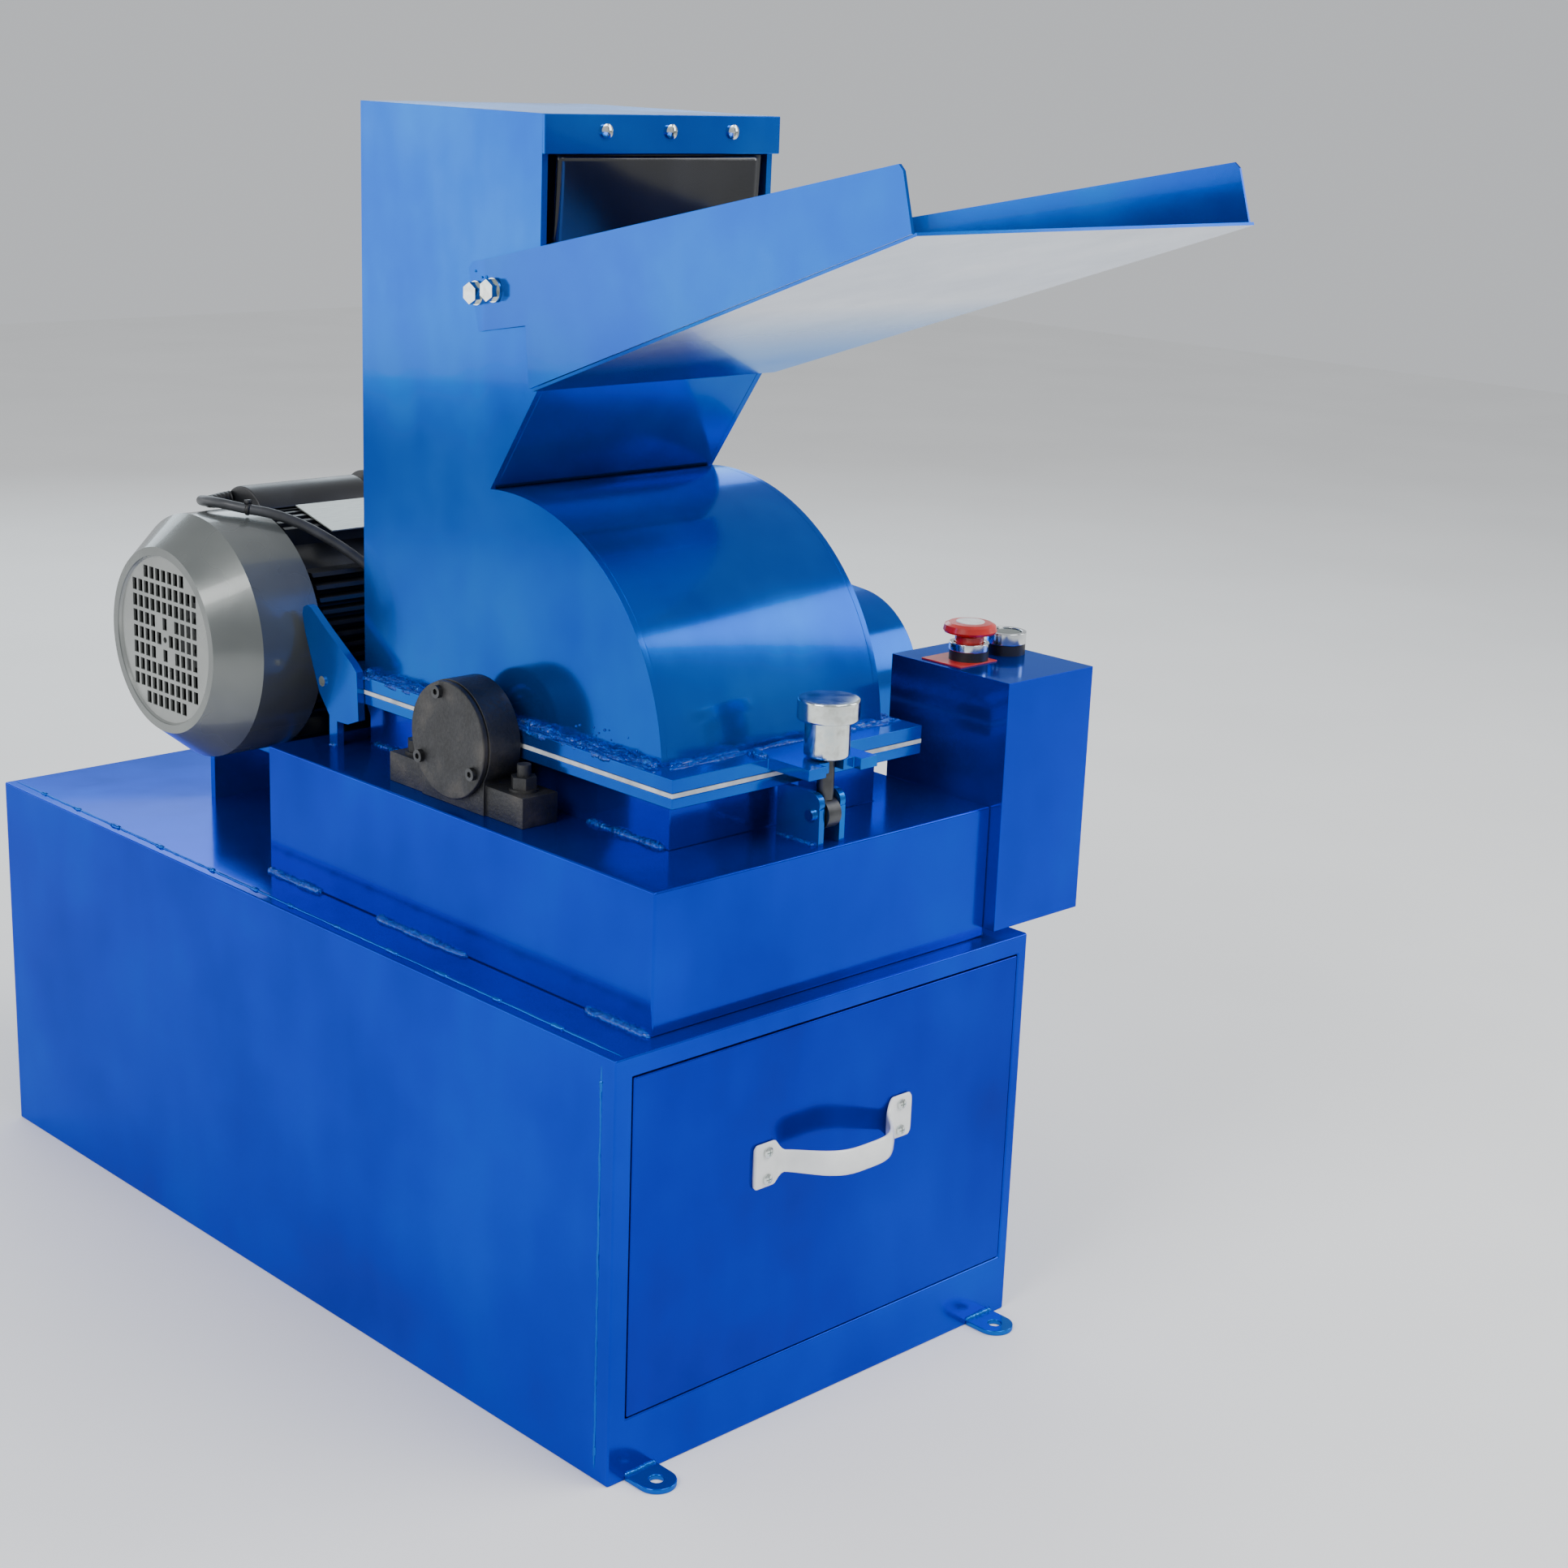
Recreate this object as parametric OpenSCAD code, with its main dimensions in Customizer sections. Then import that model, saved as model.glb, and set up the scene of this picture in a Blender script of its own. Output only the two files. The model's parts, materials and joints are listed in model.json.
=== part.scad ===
// Hammer mill: belt-driven, hinged-casing mill on a cabinet base with a collecting drawer.
// +X is to the right of someone facing the drawer, +Y runs back to the motor, +Z is up.
// The origin is on the floor, in the middle of the four anchor holes.

/* [Base cabinet] */
// Width of the base cabinet
base_w = 400; // [380:5:420]
// Depth of the base cabinet
base_d = 800; // [780:5:840]
// Height of the base cabinet
base_h = 307; // [300:1:312]
// Thickness of the cabinet sheet
base_t = 2.5; // [2:0.5:3]
// Diameter of the four floor anchor holes
anchor_d = 10; // [8:1:12]

/* [Drawer] */
// Thickness of the drawer front
front_t = 3; // [2:0.5:4]
// Depth of the drawer box
drawer_d = 470; // [400:10:480]
// Overall width of the pull handle
handle_w = 154; // [146:1:158]
// How far the pull handle stands out
handle_out = 34; // [28:1:38]

/* [Mill casing] */
// Height of the pedestal
pedestal_h = 100; // [98:1:101]
// Outer width of the tower
tower_w = 211; // [205:1:213]
// Height of the tower top above the floor
tower_top = 884; // [870:1:900]
// Thickness of the casing side plates
plate_t = 5; // [4:0.5:6]
// Outer radius of the grinding chamber
chamber_r = 172; // [170:0.5:173]

/* [Rotor] */
// Diameter of the rotor shaft
shaft_d = 35; // [30:1:36]
// Radius of the circle of hammer pins
pin_circle_r = 76; // [72:1:78]
// Length of a hammer from its pin to its tip
hammer_l = 68; // [60:1:70]
// Diameter of the holes in the screen
screen_hole_d = 12; // [8:1:14]

/* [Drive] */
// Outer radius of the motor's finned body
motor_r = 92; // [90:0.5:92]
// Outer radius of the motor's fan cover
fan_cover_r = 96; // [94:0.5:96]
// Outer radius of the belt guard's front end
guard_r = 68; // [64:1:72]

/* [Controls] */
// Diameter of the emergency stop's mushroom head
estop_d = 40; // [36:1:42]
// Diameter of the collars under the two buttons
collar_d = 30; // [28:1:32]

/* [Hidden] */
$fn = 64;

blue = "#0a50be";
gap = 0.3;
front_y = -base_d / 2;
mill_x = 10;

// Drawer opening: the left post is wider than the right one
bay = [-185, 191, 46, 292.5];
bay_back_y = 90;
seam = 1;

// Pedestal and the square hole that the meal falls through
ped_x = [-156, 168];
ped_y = [-384, 62];
ped_top = base_h + pedestal_h;
ped_t = 4;

// Rotor axis and the chamber around it
rotor_y = -148;
rotor_z = ped_top + 48;
split_z = rotor_z;
inner_half = tower_w / 2 - plate_t;
box_y = [rotor_y - chamber_r - 2, 24];
mouth_y = -186;
mouth_z = 702;
throat_y = -132;
back_y = 21;
scroll_t = 4;
screen_r = 158;
screen_t = 2;
shaft_clear = 3;

// Flanges, one on each side of the gasket
flange_half = 120;
flange_y = [-347, 37];
low_flange = [split_z - 10, split_z - 2];
gasket = [split_z - 2, split_z + 1];
top_flange = [split_z + 1 + gap, split_z + 11];

// Discs of the rotor, in x from the mill's middle
disc_x = [-74, -44.5, -15, 15, 44.5, 74];
disc_t = 8;

// Hinge at the back and clamp at the front
hinge_y = 45.5;
hinge_z = split_z;
hinge_pin_d = 8;
knuckle_r = 7.4;
clamp_y = -370;
clamp_z = 428;
clamp_pin_d = 8;
bolt_d = 12;
lug_z = [split_z + 4, split_z + 12];
lug_w = 66;
slot_w = 14;
neck_r = 16;
rest_x = [flange_half + 0.6, flange_half + 6.6];
nut_z = lug_z[1] + 1.3;

// Pull handle on the drawer
handle_x = [2 - handle_w / 2, 2 + handle_w / 2];
handle_z = 197;
plate_w = 24;

// Bearings, in x from the mill's middle
bearing_in = 123;
bearing_out = 150;
foot_in = 117;
foot_out = 148;
bearing_r = 43;
bearing_foot_h = 22;
bearing_foot_y = [-225, -70];

// Motor axis, and stations along it in x
motor_y = 171;
motor_z = 471;
fan_face_x = -180;
fan_rim_x = -97;
frame_x = [-95, 150];
shield_x = 190;
motor_shaft_d = 28;
mount_x = [-85, 110];
mount_y = [82, 260];
mount_top = motor_z - 100;

// Belt drive
rotor_c = [rotor_y, rotor_z];
guard_c = [rotor_y - 4, rotor_z - 5];
guard_leg_y = [-146, 130];
motor_c = [motor_y, motor_z];
guard_x = [192, 262];
guard_t = 2;
groove_x = [212, 231];
belt_w = 12;
belt_t = 8;
rotor_pulley_r = 44;
motor_pulley_r = 52;
shaft_end_x = 245;

// Control box
cbox_x = [168, 261.5];
cbox_y = [-394.6, -278.7];
cbox_z = [313.6, 500.8];
cbox_t = 1.5;
button_x = [200, 241.4];
button_y = -326;
cable_gland_x = 200;
cable_gland_z = 376;
mains_gland = [232, -336];

// Tray: bend line, root and far end of the floor
tray_t = 2;
bend_y = -128;
tray_root = [mouth_y - 1.5, 703.5];
tray_end = [-574, 837];
tray_tail_y = -109.5;
tray_half = tower_w / 2 + 0.3;
flare = atan((154 - tray_half) / (bend_y - tray_end[0]));
strip_z = [858, tower_top];
curtain_z = strip_z[0] - 2;
tray_bolt_at = [[-119, 761], [-141, 765]];

// The cable's way: round the motor behind its fan cover, along the pedestal and into the control box
cable_d = 8;
cable_points = [[-85.3, 219, 566], [-91, 219, 566], [-109, 214, 567], [-123, 202, 571],
    [-129, 185, 574], [-126, 167, 574], [-116, 153, 571.5], [-100, 138.5, 568], [-83, 125, 560.5],
    [-66, 112.5, 549.3], [-51, 100.2, 536.7], [-38, 88.3, 522.2], [-28, 78.5, 505], [-18, 72.5, 482],
    [-7, 70, 462], [8, 69, 446], [30, 69, 435], [54, 69, 428], [80, 69, 422], [106, 70, 417],
    [126, 71, 414], [141, 71, 413], [155, 69, 412.5], [167, 62.5, 412], [176, 51.5, 410],
    [180, 38, 407], [181, 10, 401], [180, -40, 393], [180, -90, 386], [180, -140, 381],
    [182, -180, 378], [189, -215, 377], [197, -245, 376], [200, -264, 376], [200, -278.7, 376]];

// ---------- helpers ----------
module span(x, y, z) {
    translate([x[0], y[0], z[0]]) cube([x[1] - x[0], y[1] - y[0], z[1] - z[0]]);
}

// A cylinder along X from x0 to x1, centred on (y, z)
module rod_x(x0, x1, y, z, r) {
    translate([x0, y, z]) rotate([0, 90, 0]) cylinder(h = x1 - x0, r = r);
}

// A flat shape drawn in (y, z), given a thickness from x0 to x1
module plate_x(x0, x1) {
    translate([x0, 0, 0]) rotate([90, 0, 90]) linear_extrude(height = x1 - x0) children();
}

// Both sides of the mill: the child is drawn for the right side, in x from the mill's middle
module both_sides() {
    translate([mill_x, 0, 0]) children();
    translate([mill_x, 0, 0]) mirror([1, 0, 0]) children();
}

// Hexagon head, washer and shank, standing on z = 0 with the shank going down
module hex_bolt(d, head_h, shank) {
    translate([0, 0, 1.5]) cylinder(h = head_h, d = d * 1.9, $fn = 6);
    cylinder(h = 1.5, d = d * 2.1);
    translate([0, 0, -shank]) cylinder(h = shank + 0.5, d = d);
}

// Washer, nut and stud end, standing on z = 0
module stud_nut(d, stud) {
    cylinder(h = 2, d = d * 2.1);
    translate([0, 0, 2]) cylinder(h = d * 0.85, d = d * 1.9, $fn = 6);
    cylinder(h = stud, d = d);
}

// Domed screw head with a cross recess, standing on z = 0
module pan_screw(d, shank) {
    difference() {
        union() {
            cylinder(h = d * 0.3, d = d * 2);
            translate([0, 0, d * 0.3]) rotate_extrude()
                intersection() {
                    translate([0, -d * 1.7]) circle(r = d * 2);
                    square([d, d]);
                }
            translate([0, 0, -shank]) cylinder(h = shank + 0.1, d = d);
        }
        for (a = [0, 90]) rotate([0, 0, a]) translate([-d * 0.6, -d * 0.11, d * 0.25])
            cube([d * 1.2, d * 0.22, d]);
    }
}

// Outline round two circles of radius r1 and r2 whose centres are c1 and c2
module round_belt(c1, c2, r1, r2) {
    run = c2 - c1;
    dist = norm(run);
    lean = atan2(run[1], run[0]);
    a = acos((r1 - r2) / dist);
    translate(c1) circle(r = r1);
    translate(c2) circle(r = r2);
    polygon([for (s = [1, -1]) c1 + r1 * [cos(lean + s * a), sin(lean + s * a)],
        for (s = [-1, 1]) c2 + r2 * [cos(lean + s * a), sin(lean + s * a)]]);
}

// ---------- base ----------
module base_cabinet() {
    color(blue) difference() {
        span([-base_w / 2, base_w / 2], [front_y, -front_y], [0, base_h]);
        span([-base_w / 2 + base_t, base_w / 2 - base_t], [front_y + base_t, bay_back_y],
            [base_t, base_h - base_t]);
        span([-base_w / 2 + base_t, base_w / 2 - base_t], [bay_back_y + base_t, -front_y - base_t],
            [base_t, base_h - base_t]);
        span([bay[0], bay[1]], [front_y - 1, front_y + 5], [bay[2], bay[3]]);
        span([mill_x - 94, mill_x + 94], [box_y[0] + plate_t, box_y[1] - plate_t], [base_h - 5, base_h + 1]);
    }
}

module anchor_feet() {
    color(blue) for (sx = [-1, 1], sy = [-1, 1])
        translate([sx * 171, sy * (base_d / 2 + 17), 0]) difference() {
            union() {
                cylinder(h = 4, r = 14);
                translate([-14, sy > 0 ? -17 : 0, 0]) cube([28, 17, 4]);
            }
            translate([0, 0, -1]) cylinder(h = 6, d = anchor_d);
        }
}

module drawer_runners() {
    color("dimgray") for (s = [-1, 1]) {
        x = s * (base_w / 2 - base_t);
        span([min(x, x - s * 26), max(x, x - s * 26)], [front_y + 6, bay_back_y - 2], [45, 47.5]);
        span([min(x, x - s * 3), max(x, x - s * 3)], [front_y + 6, bay_back_y - 2], [30, 45]);
    }
}

module pedestal() {
    color(blue) difference() {
        span(ped_x, ped_y, [base_h, ped_top]);
        span([ped_x[0] + ped_t, ped_x[1] - ped_t], [ped_y[0] + ped_t, ped_y[1] - ped_t],
            [base_h - 1, ped_top - ped_t]);
        span([mill_x - 99, mill_x + 99], box_y, [base_h, ped_top + 1]);
    }
}

module lower_housing() {
    color(blue) difference() {
        span([mill_x - 99, mill_x + 99], box_y, [base_h, low_flange[0]]);
        span([mill_x - 99 + plate_t, mill_x + 99 - plate_t], [box_y[0] + plate_t, box_y[1] - plate_t],
            [base_h - 1, low_flange[0] + 1]);
        rod_x(mill_x - 110, mill_x + 110, rotor_y, rotor_z, shaft_d / 2 + shaft_clear);
    }
}

module flange_blank(z, inner) {
    difference() {
        span([mill_x - flange_half, mill_x + flange_half], flange_y, z);
        span([mill_x - inner, mill_x + inner], [box_y[0] + plate_t, box_y[1] - plate_t - 2],
            [z[0] - 1, z[1] + 1]);
        rod_x(mill_x - 130, mill_x + 130, rotor_y, rotor_z, shaft_d / 2 + shaft_clear);
    }
}

module lower_flange() {
    color(blue) flange_blank(low_flange, 94);
}

module flange_gasket() {
    color("gainsboro") flange_blank(gasket, 96);
}

// Half-round perforated trough with a turned-out lip along each top edge
module screen() {
    rows = 16;
    color([0.16, 0.16, 0.17]) difference() {
        union() {
            plate_x(mill_x - 92, mill_x + 92) difference() {
                intersection() {
                    translate(rotor_c) circle(r = screen_r, $fn = 128);
                    translate([rotor_y - 200, rotor_z - 200]) square([400, 189]);
                }
                translate(rotor_c) circle(r = screen_r - screen_t, $fn = 128);
            }
            for (s = [-1, 1]) translate([0, rotor_y + s * (screen_r + 3.5) - 4.5, 0])
                span([mill_x - 92, mill_x + 92], [0, 9], [split_z - 13, split_z - 11]);
        }
        for (i = [1:rows - 1], j = [0:5]) translate([mill_x - 75 + 28 * j + (i % 2) * 10, rotor_y, rotor_z])
            rotate([-180 * i / rows, 0, 0]) translate([0, screen_r - 10, 0]) rotate([-90, 0, 0])
                cylinder(h = 20, d = screen_hole_d);
    }
}

// ---------- bearings ----------
module bearing_housings() {
    color([0.12, 0.12, 0.13]) both_sides() difference() {
        union() {
            span([foot_in, foot_out], bearing_foot_y, [ped_top, ped_top + bearing_foot_h]);
            span([bearing_in, bearing_out], [rotor_y - 36, rotor_y + 36], [ped_top, ped_top + 34]);
            rod_x(bearing_in, bearing_out, rotor_y, rotor_z, bearing_r);
        }
        rod_x(bearing_in - 1, bearing_out + 1, rotor_y, rotor_z, 31);
    }
}

module bearing_caps() {
    color([0.15, 0.15, 0.16]) {
        translate([mill_x, 0, 0]) mirror([1, 0, 0])
            rod_x(bearing_out, bearing_out + 5, rotor_y, rotor_z, bearing_r - 0.8);
        translate([mill_x, 0, 0]) difference() {
            rod_x(bearing_out, bearing_out + 5, rotor_y, rotor_z, bearing_r - 0.8);
            rod_x(bearing_out - 1, bearing_out + 6, rotor_y, rotor_z, shaft_d / 2 + 1);
        }
    }
}

module bearing_rings() {
    color("silver") both_sides() {
        difference() {
            rod_x(bearing_in + 5, bearing_in + 21, rotor_y, rotor_z, 31);
            rod_x(bearing_in + 4, bearing_in + 22, rotor_y, rotor_z, 27);
        }
        for (k = [0:7]) translate([bearing_in + 13, rotor_y, rotor_z]) rotate([45 * k, 0, 0])
            translate([0, 23.4, 0]) sphere(r = 3.4, $fn = 24);
    }
}

module bearing_screws() {
    color([0.2, 0.2, 0.2]) both_sides() for (a = [75, 210, 330])
        translate([bearing_out + 5, rotor_y + 35 * cos(a), rotor_z + 35 * sin(a)])
            rotate([0, 90, 0]) difference() {
                cylinder(h = 3.6, r = 4.6);
                translate([0, 0, 1.6]) cylinder(h = 3, r = 2.3, $fn = 6);
            }
}

module bearing_bolts() {
    color([0.17, 0.17, 0.17]) both_sides() for (y = [bearing_foot_y[0] + 17, bearing_foot_y[1] - 17])
        translate([(foot_in + foot_out) / 2 + 1, y, ped_top + bearing_foot_h]) stud_nut(10, 19);
}

// ---------- clamp and hinge ----------
module clamp_clevis() {
    color(blue) for (s = [-1, 1]) difference() {
        union() {
            plate_x(mill_x + (s < 0 ? -12.5 : 7.5), mill_x + (s < 0 ? -7.5 : 12.5))
                union() {
                    translate([-378, ped_top]) square([42, 26]);
                    translate([-370, ped_top]) square([34, 37]);
                    translate([-370, ped_top + 29]) circle(r = 8);
                }
        }
        rod_x(mill_x - 20, mill_x + 20, clamp_y, clamp_z, clamp_pin_d / 2);
    }
}

module pivot_pins() {
    color("silver") {
        rod_x(mill_x - 15, mill_x + 15, clamp_y, clamp_z, clamp_pin_d / 2);
        both_sides() rod_x(78, rest_x[1] + 1.4, hinge_y, hinge_z, hinge_pin_d / 2);
    }
}

// Back rests with the outer hinge ears, and the inner ears
module hinge_brackets() {
    color(blue) both_sides() difference() {
        union() {
            plate_x(rest_x[0], rest_x[1])
                polygon([[28, ped_top], [38, ped_top], [38, 430], [51, 445], [60, 467], [69, 489], [72.5, 503],
                    [71, 508], [66, 510.5], [61, 509.5], [41, 496], [8, 475.5], [2, 470], [0, 433],
                    [14, 427.5], [28, 427]]);
            plate_x(80, 88) {
                polygon([[24, ped_top + 4], [38, ped_top + 14], [53, 448], [53, 455], [38, 455], [38, 444.6],
                    [24, 444.6]]);
                translate([hinge_y, hinge_z]) circle(r = knuckle_r);
            }
        }
        rod_x(70, 130, hinge_y, hinge_z, hinge_pin_d / 2);
    }
}

// ---------- motor ----------
module motor_mount() {
    color(blue) difference() {
        span(mount_x, mount_y, [base_h, mount_top]);
        span([mount_x[0] - 1, mount_x[1] + 1], [mount_y[0] + 6, mount_y[1] - 6], [base_h - 1, mount_top - 6]);
        for (x = [-40, 70], s = [-1, 1])
            translate([x, motor_y + s * 70, mount_top - 10]) cylinder(h = 20, r = 5);
    }
}

module motor_body() {
    fin_step = 9;
    color([0.09, 0.09, 0.1]) {
        difference() {
            union() {
                rod_x(frame_x[0], frame_x[1], motor_y, motor_z, motor_r - 12);
                for (s = [-1, 1], k = [0:12]) if (k != 4)
                    intersection() {
                        span([frame_x[0] + 4, frame_x[1] - 4],
                            s > 0 ? [motor_y + 40, motor_y + 92] : [motor_y - 92, motor_y - 40],
                            [motor_z - 54 + fin_step * k - 1.5, motor_z - 54 + fin_step * k + 1.5]);
                        rod_x(frame_x[0], frame_x[1], motor_y, motor_z, motor_r);
                    }
                for (s = [-1, 1], k = [0:8]) intersection() {
                    span([frame_x[0] + 4, frame_x[1] - 4],
                        [motor_y - 36 + fin_step * k - 1.5, motor_y - 36 + fin_step * k + 1.5],
                        s > 0 ? [motor_z + 40, motor_z + 92] : [motor_z - 92, motor_z - 40]);
                    rod_x(frame_x[0], frame_x[1], motor_y, motor_z, motor_r);
                }
            }
            rod_x(frame_x[0] - 1, frame_x[1] + 1, motor_y, motor_z, 50);
        }
        for (s = [-1, 1]) difference() {
            span([-52, 84], s > 0 ? [motor_y + 48, motor_y + 88] : [motor_y - 88, motor_y - 48],
                [mount_top, mount_top + 12]);
            for (x = [-40, 70]) translate([x, motor_y + s * 70, mount_top - 1]) cylinder(h = 20, r = 5);
        }
        for (s = [-1, 1]) span([-52, 84], s > 0 ? [motor_y + 44, motor_y + 54] : [motor_y - 54, motor_y - 44],
            [mount_top, mount_top + 44]);
    }
}

module motor_end_shields() {
    color([0.1, 0.1, 0.11]) {
        difference() {
            union() {
                rod_x(frame_x[1], frame_x[1] + 14, motor_y, motor_z, 88);
                rod_x(frame_x[1] + 14, frame_x[1] + 28, motor_y, motor_z, 62);
                rod_x(frame_x[1] + 28, shield_x, motor_y, motor_z, 34);
            }
            rod_x(frame_x[1] - 1, shield_x + 1, motor_y, motor_z, motor_shaft_d / 2 + 0.05);
        }
        difference() {
            rod_x(frame_x[0] - 12, frame_x[0], motor_y, motor_z, 86);
            rod_x(frame_x[0] - 13, frame_x[0] + 1, motor_y, motor_z, motor_shaft_d / 2 + 0.05);
        }
    }
}

// Sheet cover with a chamfered nose and a recessed grille of rectangular slots
module fan_cover() {
    nose_r = 73;
    wall = 1.6;
    slot = [6.1, 9.6];
    pitch = [8.6, 12.6];
    color([0.5, 0.51, 0.5]) difference() {
        translate([fan_face_x, motor_y, motor_z]) rotate([0, 90, 0]) rotate_extrude($fn = 128)
            polygon([[0, 2.5], [65, 2.5], [66.5, 0], [nose_r, 0], [fan_cover_r, 30],
                [fan_cover_r, fan_rim_x - fan_face_x], [fan_cover_r - wall, fan_rim_x - fan_face_x],
                [fan_cover_r - wall, 30.6], [nose_r - 0.8, wall], [67.2, wall], [65.6, 4.2], [0, 4.2]]);
        for (i = [-5:5], j = [-5:5]) if (norm([i * pitch[0], j * pitch[1]]) < 58
                && !(abs(i) == 1 && abs(j) == 1) && !(i == 0 && j == 0))
            translate([fan_face_x + 3, motor_y + i * pitch[0], motor_z + j * pitch[1]])
                cube([8, slot[0], slot[1]], center = true);
        rod_x(fan_face_x - 1, fan_face_x + 8, motor_y, motor_z, 2.4);
    }
}

// Two half-round covers, one behind the other along the top of the motor
module capacitor_covers() {
    r = 30;
    tip = 22;
    color([0.08, 0.08, 0.09]) for (part = [[-85, 22, r], [32, 136, r + 3]])
        difference() {
            translate([part[0], motor_y, motor_z]) rotate([-tip, 0, 0]) translate([0, 0, 84]) {
                rotate([0, 90, 0]) cylinder(h = part[1] - part[0], r = part[2]);
                translate([0, -part[2], -10]) cube([part[1] - part[0], 2 * part[2], 10]);
            }
            rod_x(part[0] - 1, part[1] + 1, motor_y, motor_z, motor_r + 0.2);
            translate([part[0] + 2, motor_y, motor_z]) rotate([-tip, 0, 0]) translate([0, 0, 84])
                rotate([0, 90, 0]) cylinder(h = part[1] - part[0] - 4, r = part[2] - 2);
        }
}

module terminal_box() {
    color([0.09, 0.09, 0.1]) difference() {
        span([62, 130], [motor_y - 42, motor_y - 4], [motor_z + 78, motor_z + 98]);
        rod_x(50, 140, motor_y, motor_z, motor_r + 0.2);
    }
}

module nameplate() {
    color("gainsboro") translate([0, motor_y, motor_z]) rotate([14, 0, 0])
        translate([-58, -32, motor_r + 0.3]) cube([70, 52, 1]);
}

module motor_bolts() {
    color("silver") for (x = [-40, 70], s = [-1, 1]) translate([x, motor_y + s * 70, mount_top + 12])
        hex_bolt(8, 5.5, 24);
}

// ---------- belt drive ----------
// The outline of the guard, drawn in by less
module guard_outline(less) {
    round_belt(guard_c, motor_c, guard_r - less, guard_r + 6 - less);
}

module guard_back_plate() {
    color(blue) difference() {
        union() {
            plate_x(guard_x[0], guard_x[0] + 2) guard_outline(guard_t);
            span([guard_x[0] - 2, guard_x[0]], guard_leg_y, [base_h, 404]);
            span([ped_x[1] + 1, guard_x[0]], guard_leg_y, [base_h, base_h + 3]);
        }
        rod_x(guard_x[0] - 1, guard_x[0] + 3, rotor_y, rotor_z, shaft_d / 2 + 4);
        rod_x(guard_x[0] - 1, guard_x[0] + 3, motor_y, motor_z, motor_shaft_d / 2 + 4);
    }
}

module belt_guard() {
    color(blue) difference() {
        plate_x(guard_x[0], guard_x[1]) guard_outline(0);
        plate_x(guard_x[0] - 1, guard_x[1] - guard_t) guard_outline(guard_t);
    }
}

module drive_belts() {
    color([0.05, 0.05, 0.05]) for (x = groove_x) difference() {
        plate_x(x - belt_w / 2, x + belt_w / 2)
            round_belt(rotor_c, motor_c, rotor_pulley_r + 1, motor_pulley_r + 1);
        plate_x(x - belt_w, x + belt_w)
            round_belt(rotor_c, motor_c, rotor_pulley_r + 1 - belt_t, motor_pulley_r + 1 - belt_t);
    }
}

// Grooved pulley of outer radius r on a shaft, along X
module pulley(y, z, r, bore) {
    groove_r = r + 1 - belt_t - gap;
    difference() {
        rod_x(groove_x[0] - 10, groove_x[1] + 10, y, z, r);
        for (x = groove_x) difference() {
            rod_x(x - belt_w / 2 - gap, x + belt_w / 2 + gap, y, z, r + 1);
            rod_x(x - belt_w, x + belt_w, y, z, groove_r);
        }
        rod_x(groove_x[0] - 11, groove_x[1] + 11, y, z, bore);
    }
}

// ---------- controls ----------
module control_box() {
    color(blue) difference() {
        span(cbox_x, cbox_y, cbox_z);
        span([cbox_x[0] + cbox_t, cbox_x[1] + 1], [cbox_y[0] + cbox_t, cbox_y[1] - cbox_t],
            [cbox_z[0] + cbox_t, cbox_z[1] - cbox_t]);
        for (x = button_x) translate([x, button_y, cbox_z[1] - 5]) cylinder(h = 10, r = 11);
        translate([cable_gland_x, cbox_y[1] - 5, cable_gland_z]) rotate([-90, 0, 0]) cylinder(h = 10, r = 8);
        translate([mains_gland[0], mains_gland[1], cbox_z[0] - 1]) cylinder(h = 5, r = 8);
    }
}

module control_box_cover() {
    color(blue) {
        span([cbox_x[1] - cbox_t, cbox_x[1]], [cbox_y[0] + cbox_t + 0.2, cbox_y[1] - cbox_t - 0.2],
            [cbox_z[0] + cbox_t + 0.2, cbox_z[1] - cbox_t - 0.2]);
        for (y = [cbox_y[0] + 10, cbox_y[1] - 10], z = [cbox_z[0] + 12, cbox_z[1] - 12])
            translate([cbox_x[1], y, z]) rotate([0, 90, 0]) pan_screw(4, 6);
    }
}

module button_rings() {
    color([0.07, 0.07, 0.08]) for (x = button_x) translate([x, button_y, cbox_z[1]]) difference() {
        cylinder(h = 8, d = collar_d - 0.6);
        translate([0, 0, -1]) cylinder(h = 10, r = 11.5);
    }
}

module button_collars() {
    color("silver") for (x = button_x) translate([x, button_y, cbox_z[1] + 8]) difference() {
        cylinder(h = x == button_x[0] ? 6 : 9, d = collar_d);
        translate([0, 0, -1]) cylinder(h = 12, r = 11.5);
    }
}

module legend_plate() {
    color("crimson") difference() {
        span([174, 214], [-342, -303], [cbox_z[1], cbox_z[1] + 1]);
        for (x = button_x) translate([x, button_y, cbox_z[1] - 1]) cylinder(h = 4, d = collar_d - 0.6);
    }
}

// Contact blocks under the buttons and the motor contactor on the box's left wall
module switchgear() {
    color([0.13, 0.13, 0.14]) {
        for (x = button_x) span([x - 14, x + 14], [button_y - 20, button_y + 20],
            [cbox_z[1] - cbox_t - 46, cbox_z[1] - cbox_t - 16]);
        for (x = button_x) translate([x, button_y, cbox_z[1] - cbox_t - 16]) difference() {
            cylinder(h = 16 + cbox_t, r = 11);
            translate([0, 0, -1]) cylinder(h = 20, r = 8);
        }
        span([cbox_x[0] + cbox_t, cbox_x[0] + 62], [-372, -306], [342, 418]);
    }
}

// A gland through a sheet wall that lies on z = 0, with the cable leaving upwards
module gland(bore_r) {
    difference() {
        union() {
            translate([0, 0, -cbox_t - 8]) cylinder(h = 19, r = 8);
            cylinder(h = 7, r = 11, $fn = 6);
            translate([0, 0, -cbox_t - 5]) cylinder(h = 5, r = 11, $fn = 6);
        }
        translate([0, 0, -20]) cylinder(h = 40, r = bore_r);
    }
}

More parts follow.
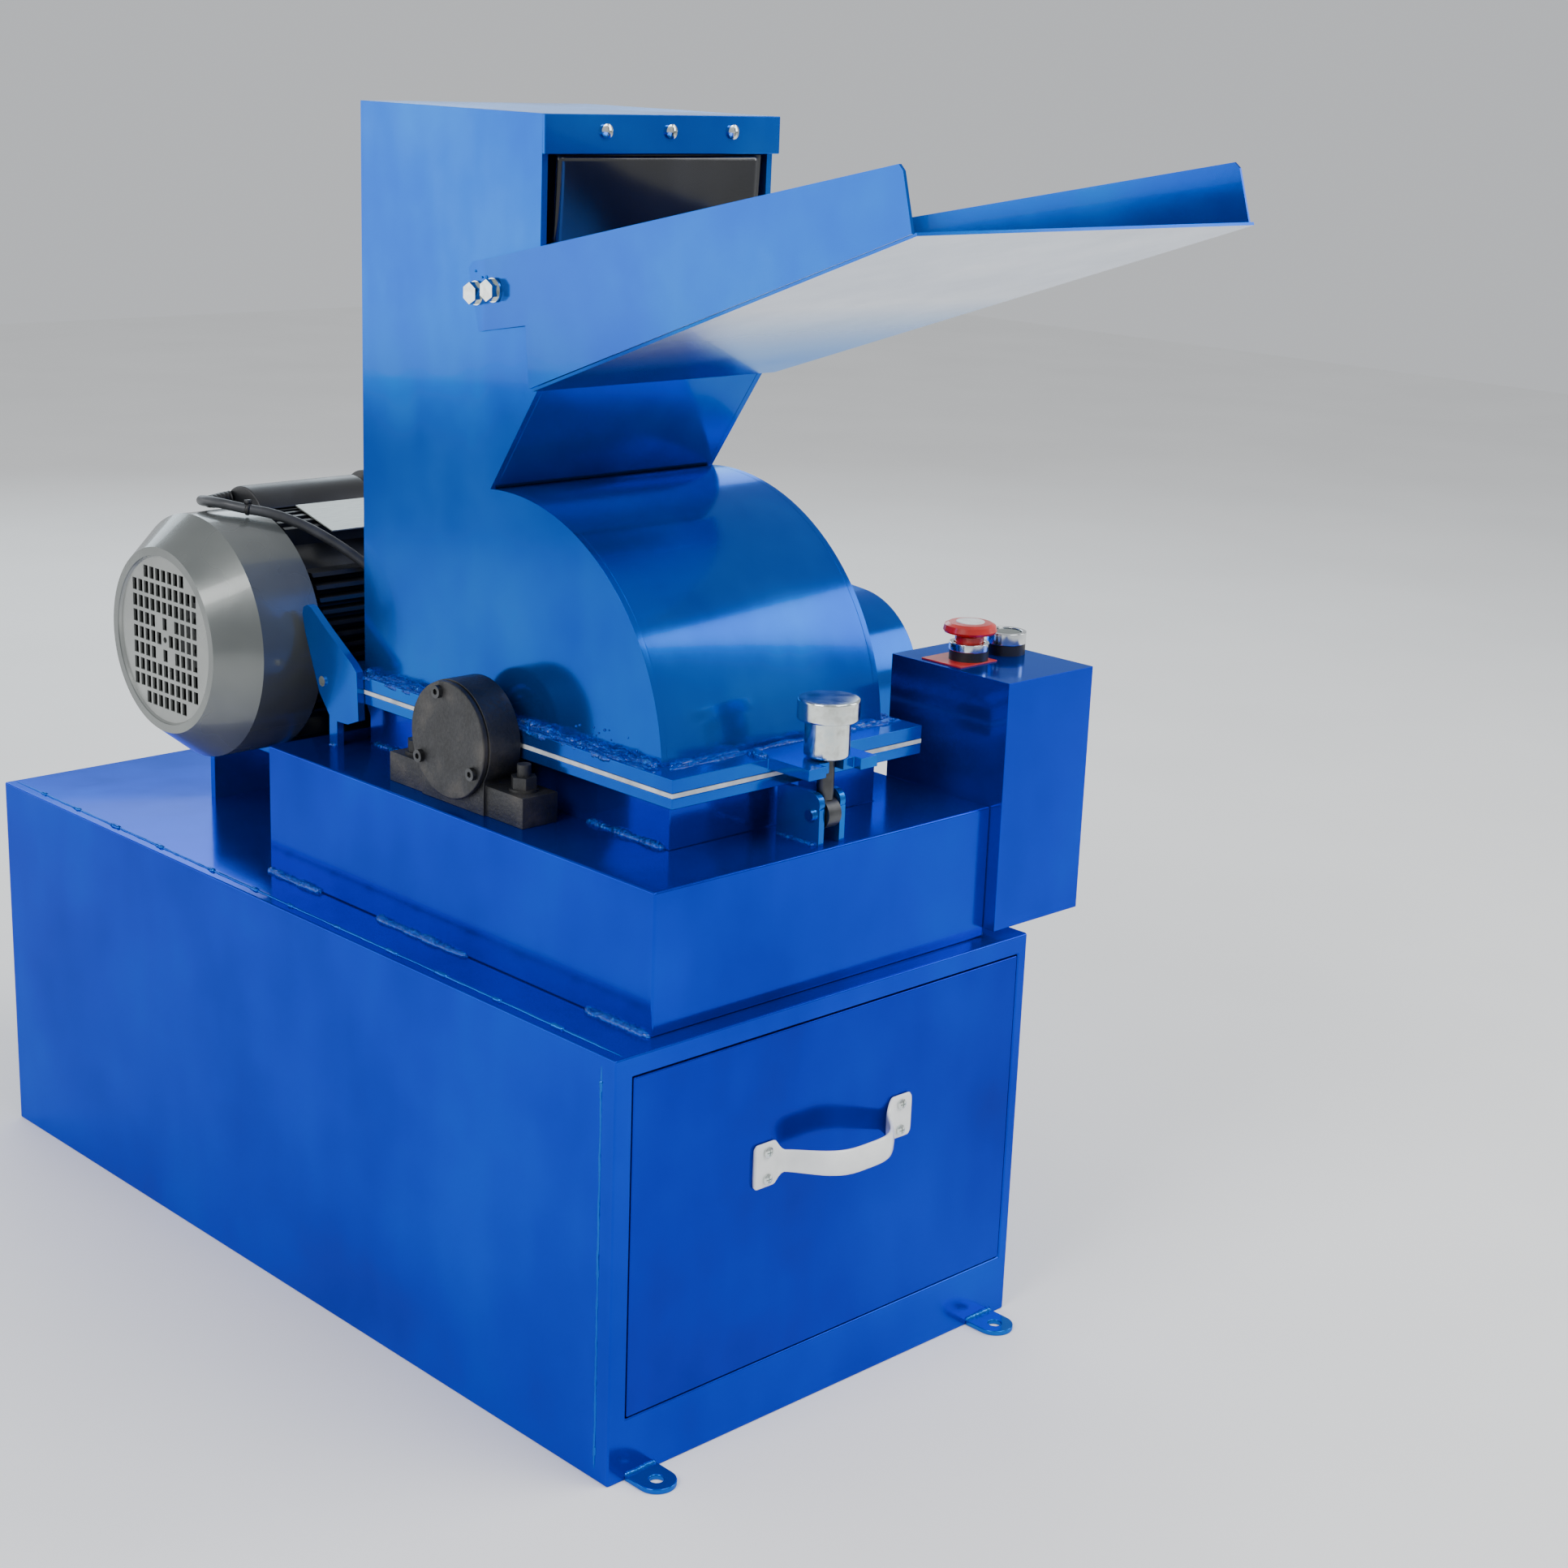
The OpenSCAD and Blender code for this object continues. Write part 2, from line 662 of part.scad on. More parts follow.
// The motor cable's gland in the control box's back, and the empty mains gland in its floor
module cable_glands() {
    color([0.1, 0.1, 0.1]) {
        translate([cable_gland_x, cbox_y[1], cable_gland_z]) rotate([-90, 0, 0]) gland(cable_d / 2 + 0.3);
        translate([mains_gland[0], mains_gland[1], cbox_z[0]]) rotate([180, 0, 0]) gland(4.5);
    }
}

// Rounded path through the points: each stretch is a cubic through its two ends
function spline(p, i, t) = let (
        a = p[max(i - 1, 0)], b = p[i], c = p[i + 1], d = p[min(i + 2, len(p) - 1)],
        m = (c - a) / 2, n = (d - b) / 2)
    (2 * pow(t, 3) - 3 * t * t + 1) * b + (pow(t, 3) - 2 * t * t + t) * m
    + (3 * t * t - 2 * pow(t, 3)) * c + (pow(t, 3) - t * t) * n;
function unit(v) = v / norm(v);
// A direction across the path, carried forward so that the tube doesn't twist
function carried(dirs, i = 0, side = [0, 0, 1]) = i >= len(dirs) ? [] :
    let (s = unit(side - (side * dirs[i]) * dirs[i])) concat([s], carried(dirs, i + 1, s));

module tube(points, r, cuts, sides = 10) {
    path = [for (i = [0:len(points) - 2], k = [0:cuts - 1]) spline(points, i, k / cuts),
        points[len(points) - 1]];
    last = len(path) - 1;
    dirs = [for (i = [0:last]) unit(path[min(i + 1, last)] - path[max(i - 1, 0)])];
    sideways = carried(dirs);
    rings = [for (i = [0:last], k = [0:sides - 1]) path[i]
        + r * cos(360 * k / sides) * sideways[i] + r * sin(360 * k / sides) * cross(dirs[i], sideways[i])];
    polyhedron(points = rings, faces = concat(
        [[for (k = [0:sides - 1]) k]],
        [for (i = [0:last - 1], k = [0:sides - 1]) let (a = i * sides + k, b = i * sides + (k + 1) % sides)
            [a, a + sides, b + sides, b]],
        [[for (k = [sides - 1:-1:0]) last * sides + k]]));
}

module motor_cable() {
    color([0.12, 0.12, 0.12]) tube(cable_points, cable_d / 2, 2);
}

// ---------- drawer ----------
module drawer_box() {
    w = 1.5;
    x = [bay[0] + 4, bay[1] - 4];
    y = [front_y + front_t, front_y + front_t + drawer_d];
    z = [bay[2] + 2, bay[3] - 8];
    color("steelblue") difference() {
        span(x, y, z);
        span([x[0] + w, x[1] - w], [y[0] + w, y[1] - w], [z[0] + w, z[1] + 1]);
    }
}

module drawer_front() {
    color(blue)
        span([bay[0] + seam, bay[1] - seam], [front_y, front_y + front_t], [bay[2] + seam, bay[3] - seam]);
}

// Arched pull on two screw plates
module drawer_handle() {
    steps = 20;
    inner = [handle_x[0] + plate_w - 4, handle_x[1] - plate_w + 4];
    outer_at = function(t) front_y - handle_out * pow(sin(180 * t), 0.8) - 3;
    inner_at = function(t) front_y - (handle_out - 5) * pow(sin(180 * t), 0.8);
    color("white") {
        for (x = [handle_x[0], handle_x[1] - plate_w])
            span([x, x + plate_w], [front_y - 3, front_y], [handle_z - 16.5, handle_z + 16.5]);
        translate([0, 0, handle_z - 8]) linear_extrude(height = 16) polygon(concat(
            [for (i = [0:steps]) let (t = i / steps) [inner[0] + t * (inner[1] - inner[0]), outer_at(t)]],
            [for (i = [steps:-1:0]) let (t = i / steps)
                [inner[0] + 5 + t * (inner[1] - inner[0] - 10), inner_at(t)]]));
    }
}

module handle_screws() {
    color("silver") for (x = [handle_x[0] + 11, handle_x[1] - 11], z = [handle_z - 10, handle_z + 10])
        translate([x, front_y - 3, z]) rotate([90, 0, 0]) pan_screw(4, 0);
}

// ---------- hinged casing ----------
module side_outline() {
    throat_z = rotor_z + sqrt(pow(chamber_r, 2) - pow(throat_y - rotor_y, 2));
    intersection() {
        translate(rotor_c) circle(r = chamber_r, $fn = 180);
        translate([rotor_y - 200, top_flange[1]]) square([200 + back_y - rotor_y, 300]);
    }
    polygon([[back_y, top_flange[1]], [back_y, tower_top], [mouth_y, tower_top], [mouth_y + 2, mouth_z],
        [throat_y, throat_z], [throat_y, top_flange[1]]]);
}

module casing_sides() {
    color(blue) both_sides() difference() {
        plate_x(inner_half, inner_half + plate_t) side_outline();
        rod_x(inner_half - 1, inner_half + plate_t + 1, rotor_y, rotor_z, shaft_d / 2 + shaft_clear);
        for (p = tray_bolt_at) rod_x(inner_half - 1, inner_half + plate_t + 1, p[0], p[1], 4);
    }
}

// Curved front plate, and the slanting throat plate above it
module casing_scroll() {
    top = [mouth_y + 2, mouth_z];
    low = [throat_y, rotor_z + sqrt(pow(chamber_r, 2) - pow(throat_y - rotor_y, 2))];
    across = scroll_t * unit([top[1] - low[1], low[0] - top[0]]);
    color(blue) plate_x(mill_x - inner_half, mill_x + inner_half)
        polygon([top, low, low + across, top + across]);
    color(blue) plate_x(mill_x - inner_half, mill_x + inner_half) intersection() {
        difference() {
            translate(rotor_c) circle(r = chamber_r, $fn = 180);
            translate(rotor_c) circle(r = chamber_r - scroll_t, $fn = 180);
        }
        translate([rotor_y - 200, top_flange[1]]) square([200 + throat_y - rotor_y - 2, 300]);
    }
}

// Back plate, roof and the short plate behind the curtain's strip
module casing_back() {
    x = [mill_x - inner_half, mill_x + inner_half];
    color(blue) {
        span(x, [back_y - 4, back_y], [top_flange[1], tower_top - 3]);
        span(x, [mouth_y, back_y], [tower_top - 3, tower_top]);
        span(x, [mouth_y + 2.4, mouth_y + 4.4], [strip_z[0], tower_top - 3]);
    }
}

// Flange with the slotted clamp lug at the front and the hinge knuckles at the back
module upper_flange() {
    color(blue) {
        difference() {
            union() {
                flange_blank(top_flange, inner_half);
                span([mill_x - lug_w / 2, mill_x + lug_w / 2], [-387, -325], lug_z);
            }
            span([mill_x - slot_w / 2, mill_x + slot_w / 2], [-390, clamp_y], [lug_z[0] - 1, lug_z[1] + 1]);
            translate([mill_x, clamp_y, lug_z[0] - 1]) cylinder(h = 12, r = slot_w / 2);
            span([mill_x - neck_r - 0.6, mill_x + neck_r + 0.6], [-390, clamp_y - 10],
                [lug_z[0] - 1, lug_z[1] + 1]);
        }
        both_sides() difference() {
            union() {
                rod_x(89, 111, hinge_y, hinge_z, knuckle_r);
                span([89, 111], [flange_y[1] - 6, hinge_y], [top_flange[0], top_flange[1]]);
            }
            rod_x(80, 120, hinge_y, hinge_z, hinge_pin_d / 2 + 0.05);
        }
    }
}

module curtain_strip() {
    color(blue) span([mill_x - 107.5, mill_x + 107.5], [mouth_y - 5, mouth_y - 2], strip_z);
}

module strip_screws() {
    color("silver") for (dx = [-55, 3, 61]) translate([mill_x + dx, mouth_y - 5, 873]) rotate([90, 0, 0])
        pan_screw(5, 0);
}

// One side of the tray: a short flat tail bolted to the casing, then a flared wall
module tray_side() {
    top_slope = (879 - 783) / (tray_end[0] - 9 - tray_tail_y);
    top_at = function(y) 781 + top_slope * (y - tray_tail_y);
    tail = [[bend_y, top_at(bend_y)], [tray_tail_y - 4, top_at(tray_tail_y - 4)], [tray_tail_y, 777],
        [-121, 734.7], [bend_y, 736]];
    start_y = bend_y + 0.5;
    wall = [[start_y, top_at(start_y)], [start_y, 736], [-180, 745], [mouth_y + 1, mouth_z + 1],
        [tray_end[0], tray_end[1] - 1], [tray_end[0] + 10, top_at(tray_end[0] + 9) - 4],
        [tray_end[0] + 14, top_at(tray_end[0] + 12)]];
    plate_x(tray_half, tray_half + tray_t) difference() {
        polygon(tail);
        for (p = tray_bolt_at) translate(p) circle(r = 4);
    }
    translate([tray_half, bend_y, 0]) rotate([0, 0, flare]) translate([-tray_half, -bend_y, 0])
        plate_x(tray_half, tray_half + tray_t) difference() {
            polygon(wall);
            for (p = tray_bolt_at) translate(p) circle(r = 4.3);
        }
}

module feed_tray() {
    run = tray_end - tray_root;
    rise = atan2(run[1], -run[0]);
    root_half = tray_half + (bend_y - tray_root[0]) * tan(flare) + tray_t / 2;
    end_half = tray_half + (bend_y - tray_end[0]) * tan(flare) + tray_t / 2;
    color(blue) {
        both_sides() tray_side();
        translate([mill_x, tray_root[0], tray_root[1]]) rotate([-rise, 0, 0]) translate([0, 0, -tray_t])
            linear_extrude(height = tray_t) polygon([[-root_half, 0], [root_half, 0],
                [end_half, -norm(run)], [-end_half, -norm(run)]]);
    }
}

module tray_bolts() {
    color("silver") both_sides() for (p = tray_bolt_at) {
        translate([tray_half + tray_t + (p[0] < -130 ? 2.5 : 0), p[0], p[1]]) rotate([0, 90, 0])
            hex_bolt(8, 5.4, tray_t + plate_t + 5);
        translate([inner_half, p[0], p[1]]) rotate([0, -90, 0]) difference() {
            cylinder(h = 6.4, d = 15, $fn = 6);
            translate([0, 0, -1]) cylinder(h = 9, r = 4);
        }
    }
}

// Rubber flap with a bead along its top edge, which it swings on
module feed_curtain() {
    x = [mill_x - 93.5, mill_x + 93.5];
    color([0.06, 0.06, 0.07]) {
        span(x, [mouth_y - 1.4, mouth_y + 1], [722, curtain_z]);
        rod_x(x[0], x[1], mouth_y - 0.2, curtain_z, 1.2);
    }
}

// ---------- rotor ----------
module rotor_shaft() {
    color("silver") {
        rod_x(mill_x - bearing_out + 3, shaft_end_x, rotor_y, rotor_z, shaft_d / 2);
        rod_x(mill_x - 84, mill_x + 84, rotor_y, rotor_z, shaft_d / 2 + 2);
        both_sides() difference() {
            rod_x(bearing_in + 5, bearing_in + 21, rotor_y, rotor_z, 19.8);
            rod_x(bearing_in + 4, bearing_in + 22, rotor_y, rotor_z, shaft_d / 2);
        }
    }
}

module at_pin(k) {
    translate([mill_x, rotor_y + pin_circle_r * cos(45 + 90 * k), rotor_z + pin_circle_r * sin(45 + 90 * k)])
        children();
}

// Six discs keyed to the shaft, with the four hammer pins through them
module rotor_discs() {
    color("dimgray") {
        for (x = disc_x) difference() {
            rod_x(mill_x + x - disc_t / 2, mill_x + x + disc_t / 2, rotor_y, rotor_z, pin_circle_r + 14);
            rod_x(mill_x + x - disc_t, mill_x + x + disc_t, rotor_y, rotor_z, shaft_d / 2 + 2);
            for (k = [0:3]) at_pin(k) rotate([0, 90, 0]) cylinder(h = 200, r = 6, center = true);
        }
        for (k = [0:3]) at_pin(k) rotate([0, 90, 0]) cylinder(h = 160, r = 6, center = true);
    }
}

// One row of swinging hammers on pin k, hanging straight down, in every other gap between the discs
module hammer_row(k) {
    gaps = k % 2 == 0 ? [0, 2, 4] : [1, 3];
    color("slategray") for (g = gaps) at_pin(k)
        translate([(disc_x[g] + disc_x[g + 1]) / 2 - 3, 0, 0]) rotate([90, 0, 90]) linear_extrude(height = 6)
            difference() {
                union() {
                    translate([-17, -hammer_l]) square([34, hammer_l]);
                    circle(r = 17);
                }
                circle(r = 6.06);
            }
}

module hammers_1() { hammer_row(0); }
module hammers_2() { hammer_row(1); }
module hammers_3() { hammer_row(2); }
module hammers_4() { hammer_row(3); }

module driven_pulley() {
    color("dimgray") pulley(rotor_y, rotor_z, rotor_pulley_r, shaft_d / 2);
}

// Motor shaft with its rotor core, cooling fan and drive pulley
module motor_rotor() {
    color("gray") {
        rod_x(fan_face_x + 22, shaft_end_x, motor_y, motor_z, motor_shaft_d / 2);
        rod_x(-60, 120, motor_y, motor_z, 48);
        difference() {
            rod_x(-150, -114, motor_y, motor_z, 26);
            rod_x(-151, -113, motor_y, motor_z, motor_shaft_d / 2);
        }
        for (k = [0:6]) translate([-132, motor_y, motor_z]) rotate([360 * k / 7, 0, 0])
            translate([-16, -1.5, 24]) cube([32, 3, 58]);
        pulley(motor_y, motor_z, motor_pulley_r, motor_shaft_d / 2);
    }
}

// ---------- clamp and buttons ----------
module eye_bolt() {
    color("dimgray") translate([mill_x, clamp_y, 0]) {
        difference() {
            rod_x(-6, 6, 0, clamp_z, 11);
            rod_x(-8, 8, 0, clamp_z, clamp_pin_d / 2 + 0.05);
        }
        translate([0, 0, clamp_z + 10]) cylinder(h = nut_z + 28 - clamp_z - 10, d = bolt_d);
    }
}

// Long round nut with a wide knurled head
module clamp_nut() {
    color("gainsboro") translate([mill_x, clamp_y, nut_z]) rotate_extrude()
        polygon([[bolt_d / 2 + 0.06, 0], [15, 0], [neck_r, 1.5], [neck_r, 26], [21, 26], [21.8, 27],
            [21.8, 40], [20.8, 41], [0, 41], [0, 29], [bolt_d / 2 + 0.06, 29]]);
}

// Mushroom stop button and the flush start button
module estop_button() {
    color("red") translate([button_x[0], button_y, cbox_z[1]]) rotate_extrude()
        polygon([[0, -12], [7.5, -12], [7.5, 6.5], [10.8, 6.5], [10.8, 18.4], [12.5, 19.8],
            [estop_d / 2 - 1, 21.4],
            [estop_d / 2, 23], [estop_d / 2 - 1, 27], [estop_d / 2 - 4, 28.6], [0, 29.4]]);
}

module start_button() {
    color([0.1, 0.16, 0.13]) translate([button_x[1], button_y, cbox_z[1]]) rotate_extrude()
        polygon([[0, -12], [7.5, -12], [7.5, 6.5], [10.8, 6.5], [10.8, 15.6], [10.2, 16.2], [0, 16.2]]);
}

base_cabinet();
anchor_feet();
drawer_runners();
pedestal();
lower_housing();
lower_flange();
flange_gasket();
screen();
bearing_housings();
bearing_caps();
bearing_rings();
bearing_screws();
bearing_bolts();
clamp_clevis();
pivot_pins();
hinge_brackets();
motor_mount();
motor_body();
motor_end_shields();
fan_cover();
capacitor_covers();
terminal_box();
nameplate();
motor_bolts();
guard_back_plate();
belt_guard();
drive_belts();
control_box();
control_box_cover();
button_rings();
button_collars();
legend_plate();
switchgear();
cable_glands();
motor_cable();
drawer_box();
drawer_front();
drawer_handle();
handle_screws();
casing_sides();
casing_scroll();
casing_back();
upper_flange();
curtain_strip();
strip_screws();
feed_tray();
tray_bolts();
feed_curtain();
rotor_shaft();
rotor_discs();
hammers_1();
hammers_2();
hammers_3();
hammers_4();
driven_pulley();
motor_rotor();
eye_bolt();
clamp_nut();
estop_button();
start_button();
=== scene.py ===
# Hammer mill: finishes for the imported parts, with the weld beads, feed curtain, pull handle and motor cable.
import json
import math

import bpy
import bmesh
import numpy as np
from mathutils import Matrix, Vector


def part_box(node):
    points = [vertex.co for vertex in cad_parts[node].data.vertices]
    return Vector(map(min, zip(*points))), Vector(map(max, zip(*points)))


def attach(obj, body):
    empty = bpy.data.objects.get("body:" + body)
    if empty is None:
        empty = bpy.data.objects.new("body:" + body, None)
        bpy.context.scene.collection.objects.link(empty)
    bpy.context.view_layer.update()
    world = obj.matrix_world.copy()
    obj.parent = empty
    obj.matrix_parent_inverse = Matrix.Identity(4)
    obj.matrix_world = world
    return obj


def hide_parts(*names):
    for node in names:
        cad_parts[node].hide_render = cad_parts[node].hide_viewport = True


mm = 0.001

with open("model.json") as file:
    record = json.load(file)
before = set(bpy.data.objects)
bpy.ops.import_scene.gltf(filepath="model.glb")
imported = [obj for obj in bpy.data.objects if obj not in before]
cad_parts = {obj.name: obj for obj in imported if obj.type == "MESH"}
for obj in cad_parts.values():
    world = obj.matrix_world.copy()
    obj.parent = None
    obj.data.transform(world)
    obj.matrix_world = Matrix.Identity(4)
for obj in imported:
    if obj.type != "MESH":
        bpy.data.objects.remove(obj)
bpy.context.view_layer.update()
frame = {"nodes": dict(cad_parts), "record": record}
nodes = frame["nodes"]
scene = bpy.context.scene


def asMetres(points):
    return np.asarray(points, float) * mm


# Joins each ring of points to the next with quads: rings is (along, around, 3) in metres.
def gridMesh(name, rings, around=True, caps=True):
    along, count = rings.shape[:2]
    index = np.arange(along * count).reshape(along, count)
    nextPoint = np.roll(index, -1, axis=1) if around else index[:, 1:]
    thisPoint = index if around else index[:, :-1]
    quads = np.stack([thisPoint[:-1], nextPoint[:-1], nextPoint[1:], thisPoint[1:]], axis=-1).reshape(-1, 4)
    faces = quads.tolist()
    if around and caps:
        faces.append(index[0][::-1].tolist())
        faces.append(index[-1].tolist())
    mesh = bpy.data.meshes.new(name)
    mesh.from_pydata(rings.reshape(-1, 3).tolist(), [], faces)
    mesh.validate()
    return mesh


# One object from one or more meshes, with its normals outward, riding on a body.
def addPiece(name, meshes, material, body, smooth=True, replaced=()):
    joined = bmesh.new()
    for mesh in meshes:
        joined.from_mesh(mesh)
        bpy.data.meshes.remove(mesh)
    bmesh.ops.recalc_face_normals(joined, faces=joined.faces)
    whole = bpy.data.meshes.new(name)
    joined.to_mesh(whole)
    joined.free()
    whole.polygons.foreach_set("use_smooth", [smooth] * len(whole.polygons))
    piece = bpy.data.objects.new(name, whole)
    scene.collection.objects.link(piece)
    whole.materials.append(material)
    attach(piece, body)
    if replaced:
        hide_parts(*replaced)
    return piece


# A copy of a node with its doubles merged and its edges rounded over, standing for the node.
def roundedCopy(nodeName, material, body, radius, segments=2, sharpest=30):
    source = nodes[nodeName]
    joined = bmesh.new()
    joined.from_mesh(source.data)
    bmesh.ops.remove_doubles(joined, verts=joined.verts, dist=0.004 * mm)
    bmesh.ops.dissolve_limit(joined, angle_limit=math.radians(0.5), verts=joined.verts, edges=joined.edges)
    mesh = bpy.data.meshes.new(nodeName + "Rounded")
    joined.to_mesh(mesh)
    joined.free()
    mesh.polygons.foreach_set("use_smooth", [True] * len(mesh.polygons))
    piece = bpy.data.objects.new(nodeName + "Rounded", mesh)
    scene.collection.objects.link(piece)
    mesh.materials.append(material)
    bevel = piece.modifiers.new("roundedEdges", "BEVEL")
    bevel.width = radius * mm
    bevel.segments = segments
    bevel.limit_method = "ANGLE"
    bevel.angle_limit = math.radians(sharpest)
    bevel.harden_normals = False
    weighted = piece.modifiers.new("evenNormals", "WEIGHTED_NORMAL")
    weighted.keep_sharp = True
    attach(piece, body)
    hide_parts(nodeName)
    return piece


# An sRGB hex value as linear red, green, blue and alpha.
def srgb(hexColour):
    parts = np.array([int(hexColour[k:k + 2], 16) for k in (1, 3, 5)]) / 255
    linear = np.where(parts <= 0.04045, parts / 12.92, ((parts + 0.055) / 1.055) ** 2.4)
    return (*linear.tolist(), 1.0)


# Adds a node with its settings; an input is a number, a colour or another node's output.
def addNode(material, kind, inputs=None, **settings):
    tree = material.node_tree
    node = tree.nodes.new("ShaderNode" + kind)
    for key, value in settings.items():
        setattr(node, key, value)
    for key, value in (inputs or {}).items():
        if isinstance(value, bpy.types.NodeSocket):
            tree.links.new(value, node.inputs[key])
        else:
            node.inputs[key].default_value = value
    return node


def newMaterial(name):
    material = bpy.data.materials.new(name)
    material.use_nodes = True
    material.node_tree.nodes.clear()
    return material


# Noise whose blotches are about size millimetres across, on Object coordinates.
def noiseField(material, size, detail=3, stretch=(1, 1, 1), roughness=0.5):
    place = addNode(material, "TexCoord").outputs["Object"]
    scaled = addNode(material, "Mapping", {"Vector": place, "Scale": stretch}).outputs["Vector"]
    return addNode(material, "TexNoise", {"Vector": scaled, "Scale": 1 / (size * mm), "Detail": detail,
                                          "Roughness": roughness}).outputs["Fac"]


# A colour ramp through (position, hex) stops.
def ramp(material, factor, stops):
    node = addNode(material, "ValToRGB", {"Fac": factor})
    while len(node.color_ramp.elements) < len(stops):
        node.color_ramp.elements.new(0.5)
    for element, (position, colour) in zip(node.color_ramp.elements, stops):
        element.position = position
        element.color = srgb(colour)
    return node.outputs["Color"]


# Maps a field from start..end onto low..high, clamped.
def spread(material, factor, low, high, start=0.3, end=0.7):
    return addNode(material, "MapRange", {"Value": factor, "From Min": start, "From Max": end,
                                          "To Min": low, "To Max": high}).outputs["Result"]


# The Principled shader with its sockets; heights are (field, height in mm) laid one on another as bump.
def finishMaterial(material, sockets, heights=()):
    normal = None
    for field, height in heights:
        links = {"Height": field, "Distance": height * mm, "Strength": 1.0}
        if normal is not None:
            links["Normal"] = normal
        normal = addNode(material, "Bump", links).outputs["Normal"]
    if normal is not None:
        sockets = {**sockets, "Normal": normal}
    shader = addNode(material, "BsdfPrincipled", sockets)
    addNode(material, "OutputMaterial", {"Surface": shader.outputs["BSDF"]})
    return material


# Gloss enamel brushed and sprayed over steel: wet shine, faint orange peel, cloudy cover and a few runs.
def blueEnamel(name="blueGlossEnamel", deep="#0044ac", mid="#0054b8", light="#0068c4", peel=0.012):
    m = newMaterial(name)
    clouds = noiseField(m, 150, detail=4, roughness=0.5)
    runs = noiseField(m, 30, detail=3, stretch=(1, 1, 0.3))
    thickness = addNode(m, "Math", {0: clouds, 1: spread(m, runs, -0.05, 0.05)}, operation="ADD").outputs[0]
    colour = ramp(m, thickness, [(0.28, deep), (0.5, mid), (0.74, light)])
    return finishMaterial(m, {
        "Base Color": colour, "Metallic": 0.78, "Specular Tint": srgb("#5cc4ff"), "Specular IOR Level": 0.2,
        "Roughness": spread(m, clouds, 0.12, 0.2), "Coat Weight": 0.12, "Coat Roughness": 0.04,
    }, [(noiseField(m, 5.0, detail=2), peel), (noiseField(m, 70, detail=2), peel * 14)])


# The tray's enamel: full blue on top and on the sides; under the floor, growing towards the lip, a pale milky
# colour is painted in as a reflection of the pale floor.
def trayEnamel():
    m = newMaterial("blueGlossEnamelTray")
    clouds = noiseField(m, 120, detail=4, roughness=0.5)
    blue = ramp(m, clouds, [(0.28, "#0044ac"), (0.5, "#0054b8"), (0.74, "#0068c4")])
    # Painted reflection: the pale floor seen at a grazing angle in the underside's gloss, laid in as a milky
    # colour.
    paintedFloorReflection = ramp(m, noiseField(m, 60, detail=5), [(0.3, "#c4ccd9"), (0.6, "#d8dee7"), (0.8, "#e6e9ee")])
    low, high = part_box("feed_tray")
    place = addNode(m, "SeparateXYZ", {"Vector": addNode(m, "TexCoord").outputs["Object"]}).outputs["Y"]
    outward = addNode(m, "MapRange", {
        "Value": place, "From Min": high.y - 120 * mm, "From Max": low.y + 170 * mm})
    facing = addNode(m, "SeparateXYZ", {"Vector": addNode(m, "TexCoord").outputs["Normal"]}).outputs["Z"]
    under = addNode(m, "Math", {0: facing, 1: -0.5}, operation="LESS_THAN").outputs[0]
    # Mask of the painted reflection: the underside, fading in from the tower towards the lip; the metal is
    # taken away there too.
    reflectionMask = addNode(m, "Math", {0: under, 1: outward.outputs["Result"]}, operation="MULTIPLY").outputs[0]
    colour = addNode(m, "MixRGB", {"Fac": reflectionMask, "Color1": blue, "Color2": paintedFloorReflection}).outputs["Color"]
    metal = addNode(m, "MapRange", {"Value": reflectionMask, "To Min": 0.78, "To Max": 0.0}).outputs["Result"]
    return finishMaterial(m, {
        "Base Color": colour, "Metallic": metal, "Specular Tint": srgb("#5cc4ff"), "Specular IOR Level": 0.3,
        "Roughness": spread(m, clouds, 0.14, 0.22), "Coat Weight": 0.12, "Coat Roughness": 0.04,
    }, [(noiseField(m, 5.0, detail=2), 0.012), (noiseField(m, 70, detail=2), 0.17)])


# The same enamel run thick over weld metal: its own blue, with the high lumps painted a lighter cyan as painted
# glints.
def weldEnamel():
    m = newMaterial("enamelOverWeld")
    lumps = noiseField(m, 3.2, detail=4, roughness=0.62)
    # The deep and mid stops are the paint's own tone; the light cyan stop on the high lumps is a painted glint.
    colour = ramp(m, lumps, [(0.34, "#00309c"), (0.55, "#0448b4"), (0.78, "#2a80d0")])
    return finishMaterial(m, {
        "Base Color": colour, "Metallic": 0.7, "Specular Tint": srgb("#5cc4ff"), "Roughness": 0.12,
        "Coat Weight": 0.5, "Coat Roughness": 0.04,
    }, [(lumps, 1.6), (noiseField(m, 1.6, detail=2), 0.6)])


# Bright zinc plate with a pale passivated bloom: silvery, blotched warm and cold, very slightly uneven.
def zincPlate():
    m = newMaterial("zincPlatedSteel")
    bloom = noiseField(m, 9, detail=3)
    colour = ramp(m, bloom, [(0.3, "#b9bdb8"), (0.5, "#d9dedb"), (0.7, "#c9d6d8")])
    return finishMaterial(m, {
        "Base Color": colour, "Metallic": 1.0, "Roughness": spread(m, noiseField(m, 9), 0.12, 0.2),
    }, [(noiseField(m, 9, detail=2), 0.008)])


# Sand-cast iron under thin black paint: pebbly skin, rubbed brown-grey in patches.
def castIronPaint():
    m = newMaterial("blackPaintedCastIron")
    skin = noiseField(m, 2.6, detail=5, roughness=0.6)
    rubbed = noiseField(m, 26, detail=4)
    colour = ramp(m, rubbed, [(0.35, "#0e0f11"), (0.55, "#1c1d20"), (0.75, "#3c3935")])
    return finishMaterial(m, {
        "Base Color": colour, "Roughness": spread(m, skin, 0.38, 0.62), "Specular IOR Level": 0.5,
    }, [(skin, 0.45)])


